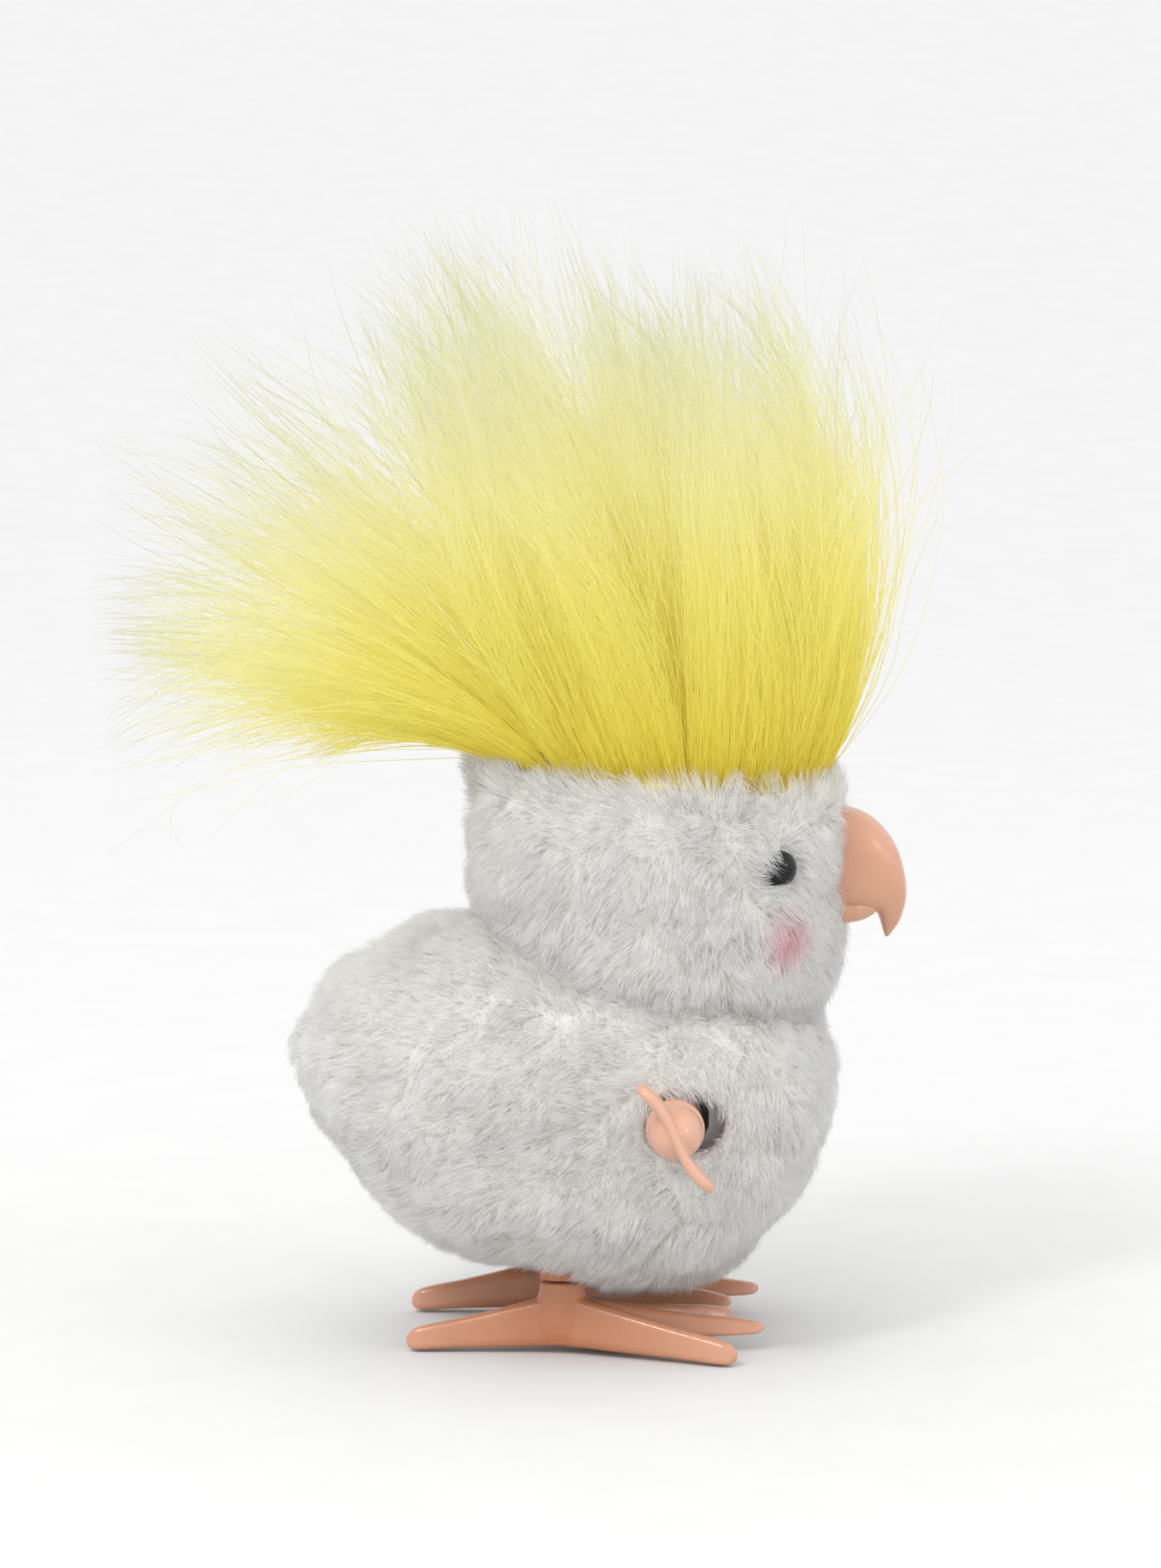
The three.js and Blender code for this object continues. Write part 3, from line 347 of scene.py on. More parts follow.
def tinted_by_distance(made, centre, stretch, reach, stops, mirrored=False):
    """Multiplies the colour by a ramp over the stretched distance from a place, where 1 means `reach` away.

    mirrored uses one place for both sides of the bird.
    """
    tree = made.node_tree
    shader = tree.nodes["Principled BSDF"]
    colour = shader.inputs["Base Color"].links[0].from_socket
    place = node(tree, "TexCoord").outputs["Object"]
    if mirrored:
        absolute = node(tree, "VectorMath", operation="ABSOLUTE")
        tree.links.new(place, absolute.inputs[0])
        place = absolute.outputs[0]
    stretched = node(tree, "VectorMath", operation="MULTIPLY")
    stretched.inputs[1].default_value = stretch
    away = node(tree, "VectorMath", operation="DISTANCE")
    away.inputs[1].default_value = centre
    scaled = node(tree, "Math", operation="MULTIPLY")
    scaled.inputs[1].default_value = 1 / reach
    blend = node(tree, "Mix", data_type="RGBA", blend_type="MULTIPLY")
    blend.inputs[0].default_value = 1.0
    tree.links.new(place, stretched.inputs[0])
    tree.links.new(stretched.outputs[0], away.inputs[0])
    tree.links.new(away.outputs["Value"], scaled.inputs[0])
    tree.links.new(colour, blend.inputs[6])
    tree.links.new(ramp(tree, scaled.outputs[0], stops), blend.inputs[7])
    tree.links.new(blend.outputs[2], shader.inputs["Base Color"])


def paint(made, look):
    made.data.materials.clear()
    made.data.materials.append(look)


# ---------------------------------------------------------------- outer forms

# Side outline of the body in millimetres, forward and up, starting at the tail
BODY_OUTLINE = [
    (-38.3, 38), (-35, 48.5), (-27.5, 56), (-15, 60), (5, 60), (24, 56), (36, 48.5),
    (39.2, 36), (36.6, 24.5), (28.5, 14.6), (15, 7.2), (0, 8.6), (-15, 12), (-28, 20.5),
]
BODY_CENTRE = np.array([2, 33]) * MM
BODY_FULLNESS = 0.6  # less gives squarer sides
# Radius of the head in millimetres, and height above its base
HEAD_WIDEST = 26.9
HEAD_PROFILE = [
    (21, 0), (25.4, 6), (HEAD_WIDEST, 18), (26.6, 31), (24.6, 36), (18, 38.2), (9, 38.6), (1, 38.6),
]
PILE_DEPTH = 2.5 * MM  # how far the fabric lies under the tips of the short pile


def offset_grid(points, depth):
    """The same grid of points moved inward, and its outward normals."""
    down = np.gradient(points, axis=0)
    across = np.roll(points, -1, axis=1) - np.roll(points, 1, axis=1)
    normals = unit(np.cross(down, across))
    outward = np.einsum("ijk,ijk->ij", normals, points - points.mean((0, 1)))
    normals *= np.sign(outward.sum())
    return points - normals * depth, normals


def body_form(rows=64, columns=128):
    outline = closed_curve(BODY_OUTLINE, columns) * MM
    half_width = (body_high[1] - body_low[1]) / 2
    angles = np.linspace(-0.5, 0.5, rows) * math.pi * 0.985
    scale = np.cos(angles)[:, None] ** BODY_FULLNESS
    for row, share in ((0, 0.01), (1, 0.5), (2, 0.85)):  # the last rings close each side
        angles[row], angles[-1 - row] = angles[2], angles[-3]
        scale[row] *= share
        scale[-1 - row] *= share
    ahead = BODY_CENTRE[0] + (outline[None, :, 0] - BODY_CENTRE[0]) * scale
    up = BODY_CENTRE[1] + (outline[None, :, 1] - BODY_CENTRE[1]) * scale
    side = np.repeat(half_width * np.sin(angles)[:, None], columns, axis=1)
    return lumpy(*offset_grid(np.stack([ahead, side, up], axis=2), PILE_DEPTH))


def head_form(rows=56, columns=128):
    profile = open_curve(HEAD_PROFILE, rows)
    radius = profile[:, :1] / HEAD_WIDEST * HEAD_RADIUS
    turn = np.linspace(0, TAU, columns, endpoint=False)[None, :]
    ahead = radius * np.cos(turn)
    up = HEAD_BASE + profile[:, 1:] * MM - CROWN_SLOPE * ahead
    points = np.stack([HEAD_X + ahead, radius * np.sin(turn), up], axis=2)
    return lumpy(*offset_grid(points, PILE_DEPTH))


def lumpy(points, normals):
    """Soft dents and swells in a skin."""
    flat = points.reshape(-1, 3)
    swell = 0.5 * MM * waves(flat, 18 * MM, 3) + 0.42 * MM * waves(flat, 8.5 * MM, 4)
    return points + normals * swell.reshape(points.shape[:2])[:, :, None], normals


def above_neck(points):
    return (points - NECK) @ NECK_NORMAL


def crown_height(points):
    """Height, measured square to the sloping top of the head's edge."""
    return points[..., 2] + CROWN_SLOPE * (points[..., 0] - HEAD_X)


def below_crown(points):
    return crown_height(points) < CROWN_Z


def in_key_hole(points):
    """A shade smaller than the hole itself, so that pile stands right at its edge."""
    inside = 0.1 * MM
    ahead = (points[..., 0] - HOLE_CENTRE[0]) / (HOLE_HALF_LENGTH - inside)
    up = (points[..., 2] - HOLE_CENTRE[2]) / (HOLE_HALF_HEIGHT - inside)
    return (ahead**2 + up**2 < 1) & (points[..., 1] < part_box("shell_right")[0][1] / 2)


def in_leg_slot(points):
    foot = middle("leg_right")
    beside = np.abs(np.abs(points[..., 1]) - abs(foot[1])) < SLOT_HALF_WIDTH
    along = np.abs(points[..., 0] - foot[0]) < SLOT_HALF_LENGTH
    return beside & along & (points[..., 2] < KEY_AXIS[2] / 2)


def key_cutter():
    turn = np.linspace(0, TAU, 64, endpoint=False)[:, None]
    edge = np.cos(turn) * X * HOLE_HALF_LENGTH + np.sin(turn) * Z * HOLE_HALF_HEIGHT
    centre = HOLE_CENTRE * [1, 0, 1]
    return loft("key_cutter", [centre - Y * 45 * MM + edge, centre - Y * 12 * MM + edge])


def rounder(wave, power):
    """A cosine or sine, bent so that the outline it draws is squarer than an ellipse for powers below 1."""
    return np.sign(wave) * np.abs(wave) ** power


def slot_cutter(side):
    turn = np.linspace(0, TAU, 64, endpoint=False)[:, None]
    ahead, aside = rounder(np.cos(turn), 0.4), rounder(np.sin(turn), 0.4)
    edge = ahead * X * SLOT_HALF_LENGTH + aside * Y * SLOT_HALF_WIDTH
    centre = Y * side * abs(middle("leg_right")[1])
    return loft("slot_cutter", [centre - Z * 5 * MM + edge, centre + Z * 22 * MM + edge])


def cut(made, cutters):
    for cutter in cutters:
        modified(made, "BOOLEAN", operation="DIFFERENCE", object=cutter, solver="EXACT")
        apply_modifiers(made)
        mesh = cutter.data
        bpy.data.objects.remove(cutter)
        bpy.data.meshes.remove(mesh)


def skin(name, points, keep, look, body, cutters=()):
    """A fabric skin over the part of a grid of points that is kept, with real thickness."""
    rows, columns = points.shape[:2]
    faces = grid_faces(rows, columns, True)
    flat = points.reshape(-1, 3)
    made = mesh_object(name, flat, [faces[keep(flat[faces].mean(1))]])
    if signed_area(made, flat.mean(0)) < 0:
        made.data.flip_normals()
    drop_loose(made)
    modified(made, "SOLIDIFY", thickness=0.9 * MM, offset=-1)
    apply_modifiers(made)
    cut(made, cutters)
    paint(made, look)
    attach(made, body)
    return made


def signed_area(made, centre):
    total = 0.0
    for polygon in made.data.polygons:
        total += polygon.area * (np.array(polygon.center) - centre) @ np.array(polygon.normal)
    return total


def drop_loose(made):
    used = np.zeros(len(made.data.vertices), bool)
    corners = np.empty(len(made.data.loops), np.int32)
    made.data.loops.foreach_get("vertex_index", corners)
    used[corners] = True
    points = np.empty(len(used) * 3, np.float32)
    made.data.vertices.foreach_get("co", points)
    renumber = np.cumsum(used) - 1
    old = made.data
    new = mesh_object("temporary", points.reshape(-1, 3)[used], [renumber[corners].reshape(-1, 4)])
    made.data = new.data
    bpy.data.objects.remove(new)
    bpy.data.meshes.remove(old)


# ---------------------------------------------------------------- fibres

PILE_PER_AREA = 11.0 / MM**2
# Clumps of pile: spacing in millimetres, weakest and strongest pull, and how far their directions wander
PILE_CLUMPS = ((3.8, 0.15, 0.45, 0.22), (1.3, 0.05, 0.4, 0.12))


def scatter(points, normals, per_area, rng, keep):
    """Random places on a grid surface, evenly by area, with their normals."""
    rows, columns = points.shape[:2]
    faces = grid_faces(rows, columns, True)
    flat, flat_normals = points.reshape(-1, 3), normals.reshape(-1, 3)
    corners = flat[faces]
    area = np.linalg.norm(np.cross(corners[:, 2] - corners[:, 0], corners[:, 3] - corners[:, 1]), axis=1) / 2
    area *= keep(corners.mean(1))
    count = int(area.sum() * per_area)
    picked = np.searchsorted(np.cumsum(area) / area.sum(), rng.random(count))
    u, v = rng.random((2, count, 1))
    weights = [(1 - u) * (1 - v), u * (1 - v), u * v, (1 - u) * v]
    chosen = faces[picked]
    place = sum(w * flat[chosen[:, k]] for k, w in enumerate(weights))
    normal = unit(sum(w * flat_normals[chosen[:, k]] for k, w in enumerate(weights)))
    kept = keep(place)
    return place[kept], normal[kept]


def nearest(points, targets):
    """The number of the nearest target to each point."""
    tree = KDTree(len(targets))
    for i, target in enumerate(targets):
        tree.insert(target, i)
    tree.balance()
    return np.array([tree.find(point)[1] for point in points])


def fibre_lines(roots, starts, ends, lengths, steps):
    """Centre lines that leave each root along its start direction and bend to its end direction."""
    t = np.linspace(0, 1, steps)[None, :, None]
    bend = starts[:, None] * t + (ends - starts)[:, None] * t**2 / 2
    return roots[:, None] + bend * lengths[:, None, None]


def clumped(lines, groups, guides, strength):
    """Pulls each line towards its group's guide line, more towards the tip."""
    steps = lines.shape[1]
    t = np.linspace(0, 1, steps)[None, :, None]
    return lines + (guides[groups] - lines) * strength[:, None, None] * t**1.4


def fibre_pieces(name, lines, widths, tints, look, rng, taper, reach, shading):
    """Closed three-sided fibres along the lines, as pieces of limited size.

    reach is how far up the colour map each fibre gets. One piece in every `shading` shades what lies
    under it.
    """
    count, steps = lines.shape[:2]
    t = np.linspace(0, 1, steps)
    tangents = unit(np.gradient(lines, axis=1))
    seed = unit(rng.normal(size=(count, 1, 3)))
    side = unit(np.cross(tangents, seed))
    cross = np.cross(tangents, side)
    rings = steps - 1
    angles = np.arange(3) * TAU / 3
    radius = (widths[:, None] / 2 * (1 - t[None, :rings] * taper))[:, :, None, None]
    around = side[:, :rings, None] * np.cos(angles)[None, None, :, None]
    around = around + cross[:, :rings, None] * np.sin(angles)[None, None, :, None]
    shell = lines[:, :rings, None] + around * radius
    points = np.concatenate([shell.reshape(count, -1, 3), lines[:, -1:]], axis=1)

    ring = np.arange(3)
    nxt = (ring + 1) % 3
    first = np.stack([ring, nxt, 3 + nxt, 3 + ring], axis=1)
    quads = np.concatenate([first + 3 * r for r in range(rings - 1)])
    tip = 3 * rings
    last = 3 * (rings - 1)
    ends = np.concatenate([np.stack([last + ring, last + nxt, np.full(3, tip)], axis=1), [[2, 1, 0]]])
    made = []
    per_piece = PIECE_TRIANGLES // (2 * len(quads) + len(ends))
    per_piece = math.ceil(count / (2 * math.ceil(count / per_piece / 2)))
    for part, start in enumerate(range(0, count, per_piece)):
        chunk = slice(start, min(start + per_piece, count))
        many = chunk.stop - chunk.start
        shift = (np.arange(many) * (tip + 1))[:, None, None]
        all_quads = (quads[None] + shift).reshape(-1, 4)
        all_ends = (ends[None] + shift).reshape(-1, 3)
        piece = mesh_object(f"{name}_{part + 1}", points[chunk].reshape(-1, 3), [all_quads, all_ends])
        fibre_map(piece, tints[chunk], reach[chunk], quads, ends, t)
        paint(piece, look)
        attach(piece, "bird")
        if part % shading:
            let_light_past(piece)
        made.append(piece)
    return made


def let_light_past(piece):
    """Sheer fibre hardly shades what lies under it, so this piece shades nothing."""
    piece.visible_shadow = False
    piece.visible_diffuse = False
    piece.visible_transmission = False


def fibre_map(piece, tints, reach, quads, ends, t):
    """A map for the colours: across it each fibre's tint, along it root to tip."""
    width = 0.004
    along = np.append(np.repeat(t[:-1], 3), 1.0)
    across = np.append(np.tile([0.0, width, 2 * width], len(t) - 1), width)
    layer = piece.data.uv_layers.new(name="OFBake")
    quad_uv, end_uv = (np.stack([across[faces], along[faces]], axis=2) for faces in (quads, ends))
    end_uv[-1, :, 1] += [0.0, width, 2 * width]  # the root's own face keeps some height
    base = np.stack([0.02 + 0.94 * tints, np.full(len(tints), 0.01)], axis=1)
    stretch = np.stack([np.ones(len(tints)), 0.98 * reach], axis=1)
    all_quads = (quad_uv[None] * stretch[:, None, None] + base[:, None, None]).reshape(-1)
    all_ends = (end_uv[None] * stretch[:, None, None] + base[:, None, None]).reshape(-1)
    layer.data.foreach_set("uv", np.concatenate([all_quads, all_ends]).astype(np.float32))
    piece.data.uv_layers.active = layer


def short_pile(name, points, normals, keep, comb, length, seed, tint):
    """Short plush pile, combed and clumped at two sizes, on a skin."""
    rng = np.random.default_rng(seed)
    roots, up = scatter(points, normals, PILE_PER_AREA, rng, keep)

    def lines(at, out, wander):
        many = len(at)
        jitter = rng.normal(0, wander, (many, 3))
        flow = comb(at, out)
        starts = unit(out * 0.95 + flow * 0.4 + jitter)
        ends = unit(out * 0.22 + flow + jitter * 1.7)
        return fibre_lines(at, starts, ends, length(at, out) * rng.uniform(0.82, 1.1, many), 4)

    made = lines(roots - up * 0.15 * MM, up, 0.15)
    for spacing, low, high, wander in PILE_CLUMPS:
        at, out = scatter(points, normals, 1 / (spacing * MM) ** 2, rng, keep)
        guides = lines(at, out, wander)
        groups = nearest(roots, at)
        made = clumped(made, groups, guides, rng.uniform(low, high, len(roots)))
    widths = rng.uniform(0.075, 0.12, len(roots)) * MM
    tints = tint(roots, rng)
    pieces = fibre_pieces(name, made, widths, tints, white_fibre, rng, 0.75, np.ones(len(roots)), 2)


# ---------------------------------------------------------------- head and body plush


def along_surface(direction, normals):
    return direction - normals * np.einsum("ij,ij->i", direction, normals)[:, None]


def swirl(points, seed, size=14 * MM):
    return np.stack([waves(points, size, seed + k) for k in range(3)], axis=1)


def head_comb(points, normals):
    """Down the cheeks, up at the crown's edge, back from the beak."""
    height = np.clip((crown_height(points) - 72 * MM) / (9 * MM), 0, 1)[:, None]
    back = np.clip((HEAD_X - points[:, 0]) / HEAD_RADIUS, -1, 1)[:, None]
    direction = -Z * (1 - 2.4 * height) - X * (0.45 + 0.4 * back) * (1 - 0.6 * height)
    direction = direction + 0.5 * swirl(points, 21) + 0.22 * swirl(points, 24, 6 * MM)
    for name in ("eye_right", "eye_left"):
        towards, away, behind = from_eye(points, name)
        pull = np.where(behind > 0, 5.0 * behind, -1.8) * np.exp(-((away / (4.6 * MM)) ** 2))
        direction += towards / away[:, None] * pull[:, None]
    return unit(along_surface(direction, normals))


def from_eye(points, name):
    """Vector and distance to the middle of a bead, and how far behind it each point lies, 0 to 1."""
    towards = middle(name) - points
    return towards, np.linalg.norm(towards, axis=1), np.clip(towards[:, 0] / (1.2 * MM), 0, 1)


def head_length(points, normals):
    """Longer at the crown's edge, where it stands up against the crest, and behind the eyes."""
    rim = np.clip((crown_height(points) - 74 * MM) / (6 * MM), 0, 1)
    length = 4.3 * MM + 1.9 * MM * rim
    for name in ("eye_right", "eye_left"):
        _, away, behind = from_eye(points, name)
        length += 2.0 * MM * behind * np.exp(-((away / (3.8 * MM)) ** 2))
    return length


def body_length(points, normals):
    """Longer under the belly."""
    return 4.0 * MM + 1.0 * MM * under_belly(points, normals)


def from_hole(points):
    """Direction away from the key hole, and distance from its edge."""
    away = (points - HOLE_CENTRE) * [1, 0, HOLE_HALF_LENGTH / HOLE_HALF_HEIGHT]
    distance = np.linalg.norm(away, axis=1)
    return away / distance[:, None], distance - HOLE_HALF_LENGTH


def body_comb(points, normals):
    """Back and down from the neck, in over the key hole's edge, and hanging under the belly."""
    front = np.clip((points[:, 0] - 15 * MM) / (20 * MM), 0, 1)[:, None]
    direction = -Z * (0.55 + 0.5 * front) - X * (0.9 - 0.8 * front)
    direction = direction + 0.45 * swirl(points, 31) + 0.22 * swirl(points, 34, 6 * MM)
    outward, distance = from_hole(points)
    near = np.exp(-((distance / (1.8 * MM)) ** 2)) * (points[:, 1] < 0)
    direction = direction - outward * (1.6 * near)[:, None]
    return unit(along_surface(direction, normals)) - Z * (0.9 * under_belly(points, normals))[:, None]


def under_belly(points, normals):
    """0 to 1 where the body faces down, most of all ahead of the legs."""
    ahead = np.clip((points[:, 0] - 3 * MM) / (4 * MM), 0, 1)
    return np.clip(-normals[:, 2] - 0.45, 0, 0.4) / 0.4 * (0.2 + 0.8 * ahead)


CHEEKS = [np.array([32.1, side * 18.9, 59.0]) * MM for side in (-1, 1)]
CHEEK_RADIUS = 3.7 * MM


def head_tint(points, rng):
    """0 is cream, 0.25 to 0.5 white and 1 pink."""
    rim = np.clip((crown_height(points) - 74 * MM) / (8 * MM), 0, 1)
    tint = 0.38 - 0.3 * rim + rng.normal(0, 0.05, len(points))
    for cheek in CHEEKS:
        distance = np.linalg.norm(points - cheek, axis=1)
        pink = np.exp(-((distance / CHEEK_RADIUS) ** 2)) * rng.uniform(0.75, 1.05, len(points))
        tint = np.maximum(tint, 0.5 + 0.5 * pink * (pink > 0.08) - 0.12 * (pink <= 0.08))
    return np.clip(tint, 0, 1)


def body_tint(points, rng):
    # Painted reflection: the pile round the key hole takes a faint pink tint, as if lit by light bounced off the
    # peach key
    painted_key_reflection = np.clip(1 - from_hole(points)[1] / (5 * MM), 0, 1) * (points[:, 1] < 0)
    return np.clip(0.36 + 0.2 * painted_key_reflection + rng.normal(0, 0.05, len(points)), 0.2, 0.58)


def head_kept(points):
    beak_root = np.array([HEAD_X + HEAD_RADIUS, 0, 66.8 * MM])
    beside_beak = np.linalg.norm(points - beak_root, axis=1) > 5.6 * MM
    kept = (above_neck(points) > -1.5 * MM) & beside_beak & below_crown(points)
    for name in ("eye_right", "eye_left"):
        _, away, behind = from_eye(points, name)
        kept &= (away > 2.6 * MM) | (behind > 0.3)
    return kept


def body_kept(points):
    inside_head = np.linalg.norm(points[:, :2] - np.array([HEAD_X, 0]), axis=1) < 17 * MM
    hidden = (above_neck(points) > 2 * MM) | ((above_neck(points) > -4 * MM) & inside_head)
    return ~hidden


def body_furred(points):
    return body_kept(points) & ~in_key_hole(points) & ~in_leg_slot(points)


white_tints = [
    (0.0, (0.975, 0.95, 0.84)),
    (0.22, (0.983, 0.98, 0.962)),
    (0.5, (0.987, 0.985, 0.979)),
    (0.62, (0.985, 0.88, 0.89)),
    (0.8, (0.95, 0.52, 0.58)),
    (1.0, (0.86, 0.29, 0.36)),
]
# Painted shade: each white fibre is a little greyer at its root, deep in the pile, and white from 0.4 of the way
# to its tip
white_fibre = fibre(
    "white_fibre", white_tints, [(0.0, (0.93, 0.92, 0.91)), (0.4, (0.99, 0.99, 0.99)), (1.0, (1, 1, 1))],
    0.6, 0.45,
)

head_points, head_normals = head_form()
body_points, body_normals = body_form()


def plush():
    backing = fabric("white_backing", (0.70, 0.68, 0.64), (0.80, 0.79, 0.76))
    # Painted shade: the backing darkens to brown-grey round the edge of the key hole, where the recess lies in
    # shadow
    tinted_by_distance(
        backing, (HOLE_CENTRE[0], body_low[1] + 3 * MM, HOLE_CENTRE[2] * 1.2), (1, 1, 1.2), 10 * MM,
        [(0.57, (0.42, 0.33, 0.26)), (0.66, (1, 1, 1))],
    )
    head_skin = skin(
        "head_skin", head_points, lambda at: (above_neck(at) > -3 * MM) & below_crown(at), backing, "bird",
    )
    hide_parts("plush_head")
    cutters = [key_cutter(), slot_cutter(-1), slot_cutter(1)]
    body_skin = skin("body_skin", body_points, body_kept, backing, "bird", cutters)
    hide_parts("plush_body")
    short_pile(
        "head_pile", head_points, head_normals, head_kept, head_comb, head_length, 11, head_tint,
    )
    short_pile(
        "body_pile", body_points, body_normals, body_furred, body_comb, body_length, 12, body_tint,
    )


# ---------------------------------------------------------------- crest

yellow_tints = [(0.0, (0.95, 0.92, 0.80)), (0.5, (0.985, 0.98, 0.95)), (1.0, (1.0, 1.0, 1.0))]
yellow_along = [
    (0.0, (0.975, 0.82, 0.08)),
    (0.15, (0.985, 0.89, 0.15)),
    (0.4, (0.985, 0.91, 0.25)),
    (0.6, (0.95, 0.91, 0.42)),
    (0.78, (0.85, 0.84, 0.50)),
    (1.0, (0.72, 0.73, 0.50)),
]
CREST_REACH = HEAD_RADIUS - 3.6 * MM  # radius of the round that the crest grows from
CREST_LENGTH = 72 * MM
CREST_LOW = np.array([-65, -50, 60]) * MM
CREST_HIGH = np.array([64, 50, 161]) * MM
CREST_TUFTS = 85
CREST_FIBRES = 20000


def crown_place(points):
    """Height of the crown's fabric at a place."""
    out = np.hypot(points[:, 0] - HEAD_X, points[:, 1]) / CREST_REACH
    return CROWN_Z + 0.2 * MM + 1.4 * MM * (1 - out**3) - CROWN_SLOPE * (points[:, 0] - HEAD_X)


def sweep(roots, angles, leans, lengths, steps):
    """Curves whose slope in the side view, and lean to the side, change evenly from root to tip."""
    t = np.linspace(0, 1, steps)
    middles = (t[1:] + t[:-1]) / 2
    slope = angles[0][:, None] + (angles[1] - angles[0])[:, None] * middles
    lean = leans[0][:, None] + (leans[1] - leans[0])[:, None] * middles
    strides = np.stack([np.cos(slope) * np.cos(lean), np.sin(lean), np.sin(slope) * np.cos(lean)], axis=2)
    run = np.cumsum(strides, axis=1) * (lengths / (steps - 1))[:, None, None]
    return np.concatenate([roots[:, None], roots[:, None] + run], axis=1)


def within(lines, low, high):
    """The same lines, shrunk towards their roots where they leave the given box."""
    roots = lines[:, :1]
    over = (high - roots[:, 0]) / np.maximum(lines.max(axis=1) - roots[:, 0], 1e-6)
    under = (roots[:, 0] - low) / np.maximum(roots[:, 0] - lines.min(axis=1), 1e-6)
    share = np.minimum(1, np.minimum(over, under).min(axis=1))
    return roots + (lines - roots) * share[:, None, None]


def crest():
    rng = np.random.default_rng(5)
    look = fibre("yellow_fibre", yellow_tints, yellow_along, 0.32, 0.45)
    steps = 10

    def crown_roots(count):
        spread = np.sqrt(rng.random(count)) * CREST_REACH
        turn = rng.random(count) * TAU
        roots = np.stack([HEAD_X + spread * np.cos(turn), spread * np.sin(turn), np.zeros(count)], axis=1)
        roots[:, 2] = crown_place(roots)
        return roots

    def habit(roots, wander):
        """Slope and lean at the root and tip of each fibre, and its length."""
        many = len(roots)
        forward = np.clip((roots[:, 0] - HEAD_X) / CREST_REACH, -1, 1)
        ahead, behind = np.maximum(forward, 0), np.maximum(-forward, 0)
        # Degrees, where 0 is straight ahead and 90 straight up
        start = 97 - 36 * ahead + 62 * behind**1.2 + rng.normal(0, 4, many) * wander
        end = 113 + 7 * ahead + 40 * behind + 48 * behind**2 + rng.normal(0, 12, many) * wander
        aside = roots[:, 1] / CREST_REACH
        lean_start = 24 * aside + rng.normal(0, 4, many) * wander
        lean_end = 5 * aside + rng.normal(0, 8, many) * wander
        length = (71 - 6 * ahead - 13 * behind**2) * MM
        return np.radians([start, end, lean_start, lean_end]), length

    guides_at = crown_roots(CREST_TUFTS)
    guide_habit, guide_length = habit(guides_at, 1.5)
    guide_length = guide_length * np.clip(rng.normal(0.97, 0.16, len(guides_at)), 0.6, 1.18)

    count = CREST_FIBRES
    roots = crown_roots(count)
    groups = nearest(roots, guides_at)
    stray = rng.random(count) < 0.05
    own_habit, own_length = habit(roots, np.where(stray, 2.2, 0.9))
    share = 0.46 + 0.64 * rng.random(count) ** 2.4
    share[stray] = rng.uniform(0.7, 1.14, stray.sum())
    length = (0.4 * own_length + 0.6 * guide_length[groups]) * share
    own = sweep(roots, own_habit[:2], own_habit[2:], length, steps)
    pulled = sweep(guides_at[groups], guide_habit[:2, groups], guide_habit[2:, groups], length, steps)
    strength = np.where(stray, rng.uniform(0, 0.15, count), rng.uniform(0.55, 0.97, count))
    t = np.linspace(0, 1, steps)[None, :, None]
    made = own + (pulled - own) * strength[:, None, None] * t**1.25
    each = (count, 1, 3)
    turns = rng.uniform(0.6, 1.6, each)
    wobble = rng.normal(0, 1, each) * np.sin(t * TAU * turns + rng.uniform(0, TAU, each))
    made = made + wobble * t**1.3 * np.where(stray, 2.4, 1.1)[:, None, None] * MM
    made = within(made, CREST_LOW, CREST_HIGH)
    widths = rng.uniform(0.09, 0.15, count) * MM
    tints = np.clip(rng.normal(0.5, 0.22, count), 0, 1)
    reach = np.minimum(length / CREST_LENGTH, 1)
    pieces = fibre_pieces("crest", made, widths, tints, look, rng, 0.35, reach, 6)
    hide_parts("crest_pile")
    knit = fabric("yellow_backing_look", (0.55, 0.42, 0.05), (0.7, 0.56, 0.08))
    crown = skin("crown_skin", head_points, lambda at: ~below_crown(at), knit, "bird")
    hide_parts("crest_backing")


# ---------------------------------------------------------------- plastic parts

peach = plastic("peach_plastic_look", (0.56, 0.285, 0.18), (0.60, 0.315, 0.205), 0.25)
key_peach = plastic("key_peach_look", (0.62, 0.34, 0.235), (0.66, 0.37, 0.26), 0.2)
# Painted shade: the feet and legs take a darker copy of the peach plastic, for the shade under the body
foot_peach_shaded = plastic("foot_peach_shaded_look", (0.50, 0.245, 0.15), (0.55, 0.28, 0.175), 0.22)
# Painted shade: the feet darken towards the ankle, under the belly, and pale towards the tips of the toes
tinted_by_distance(
    foot_peach_shaded, (0, abs(middle("leg_right")[1]), 4 * MM), (1, 1, 1), 30 * MM,
    [(0.1, (0.82, 0.62, 0.46)), (0.45, (0.92, 0.8, 0.7)), (0.85, (1.08, 1.08, 1.1))], mirrored=True,
)
black = plastic(
    "black_bead_look", (0.003, 0.003, 0.004), (0.006, 0.006, 0.008), 0.12, Specular_IOR_Level=0.28,
)


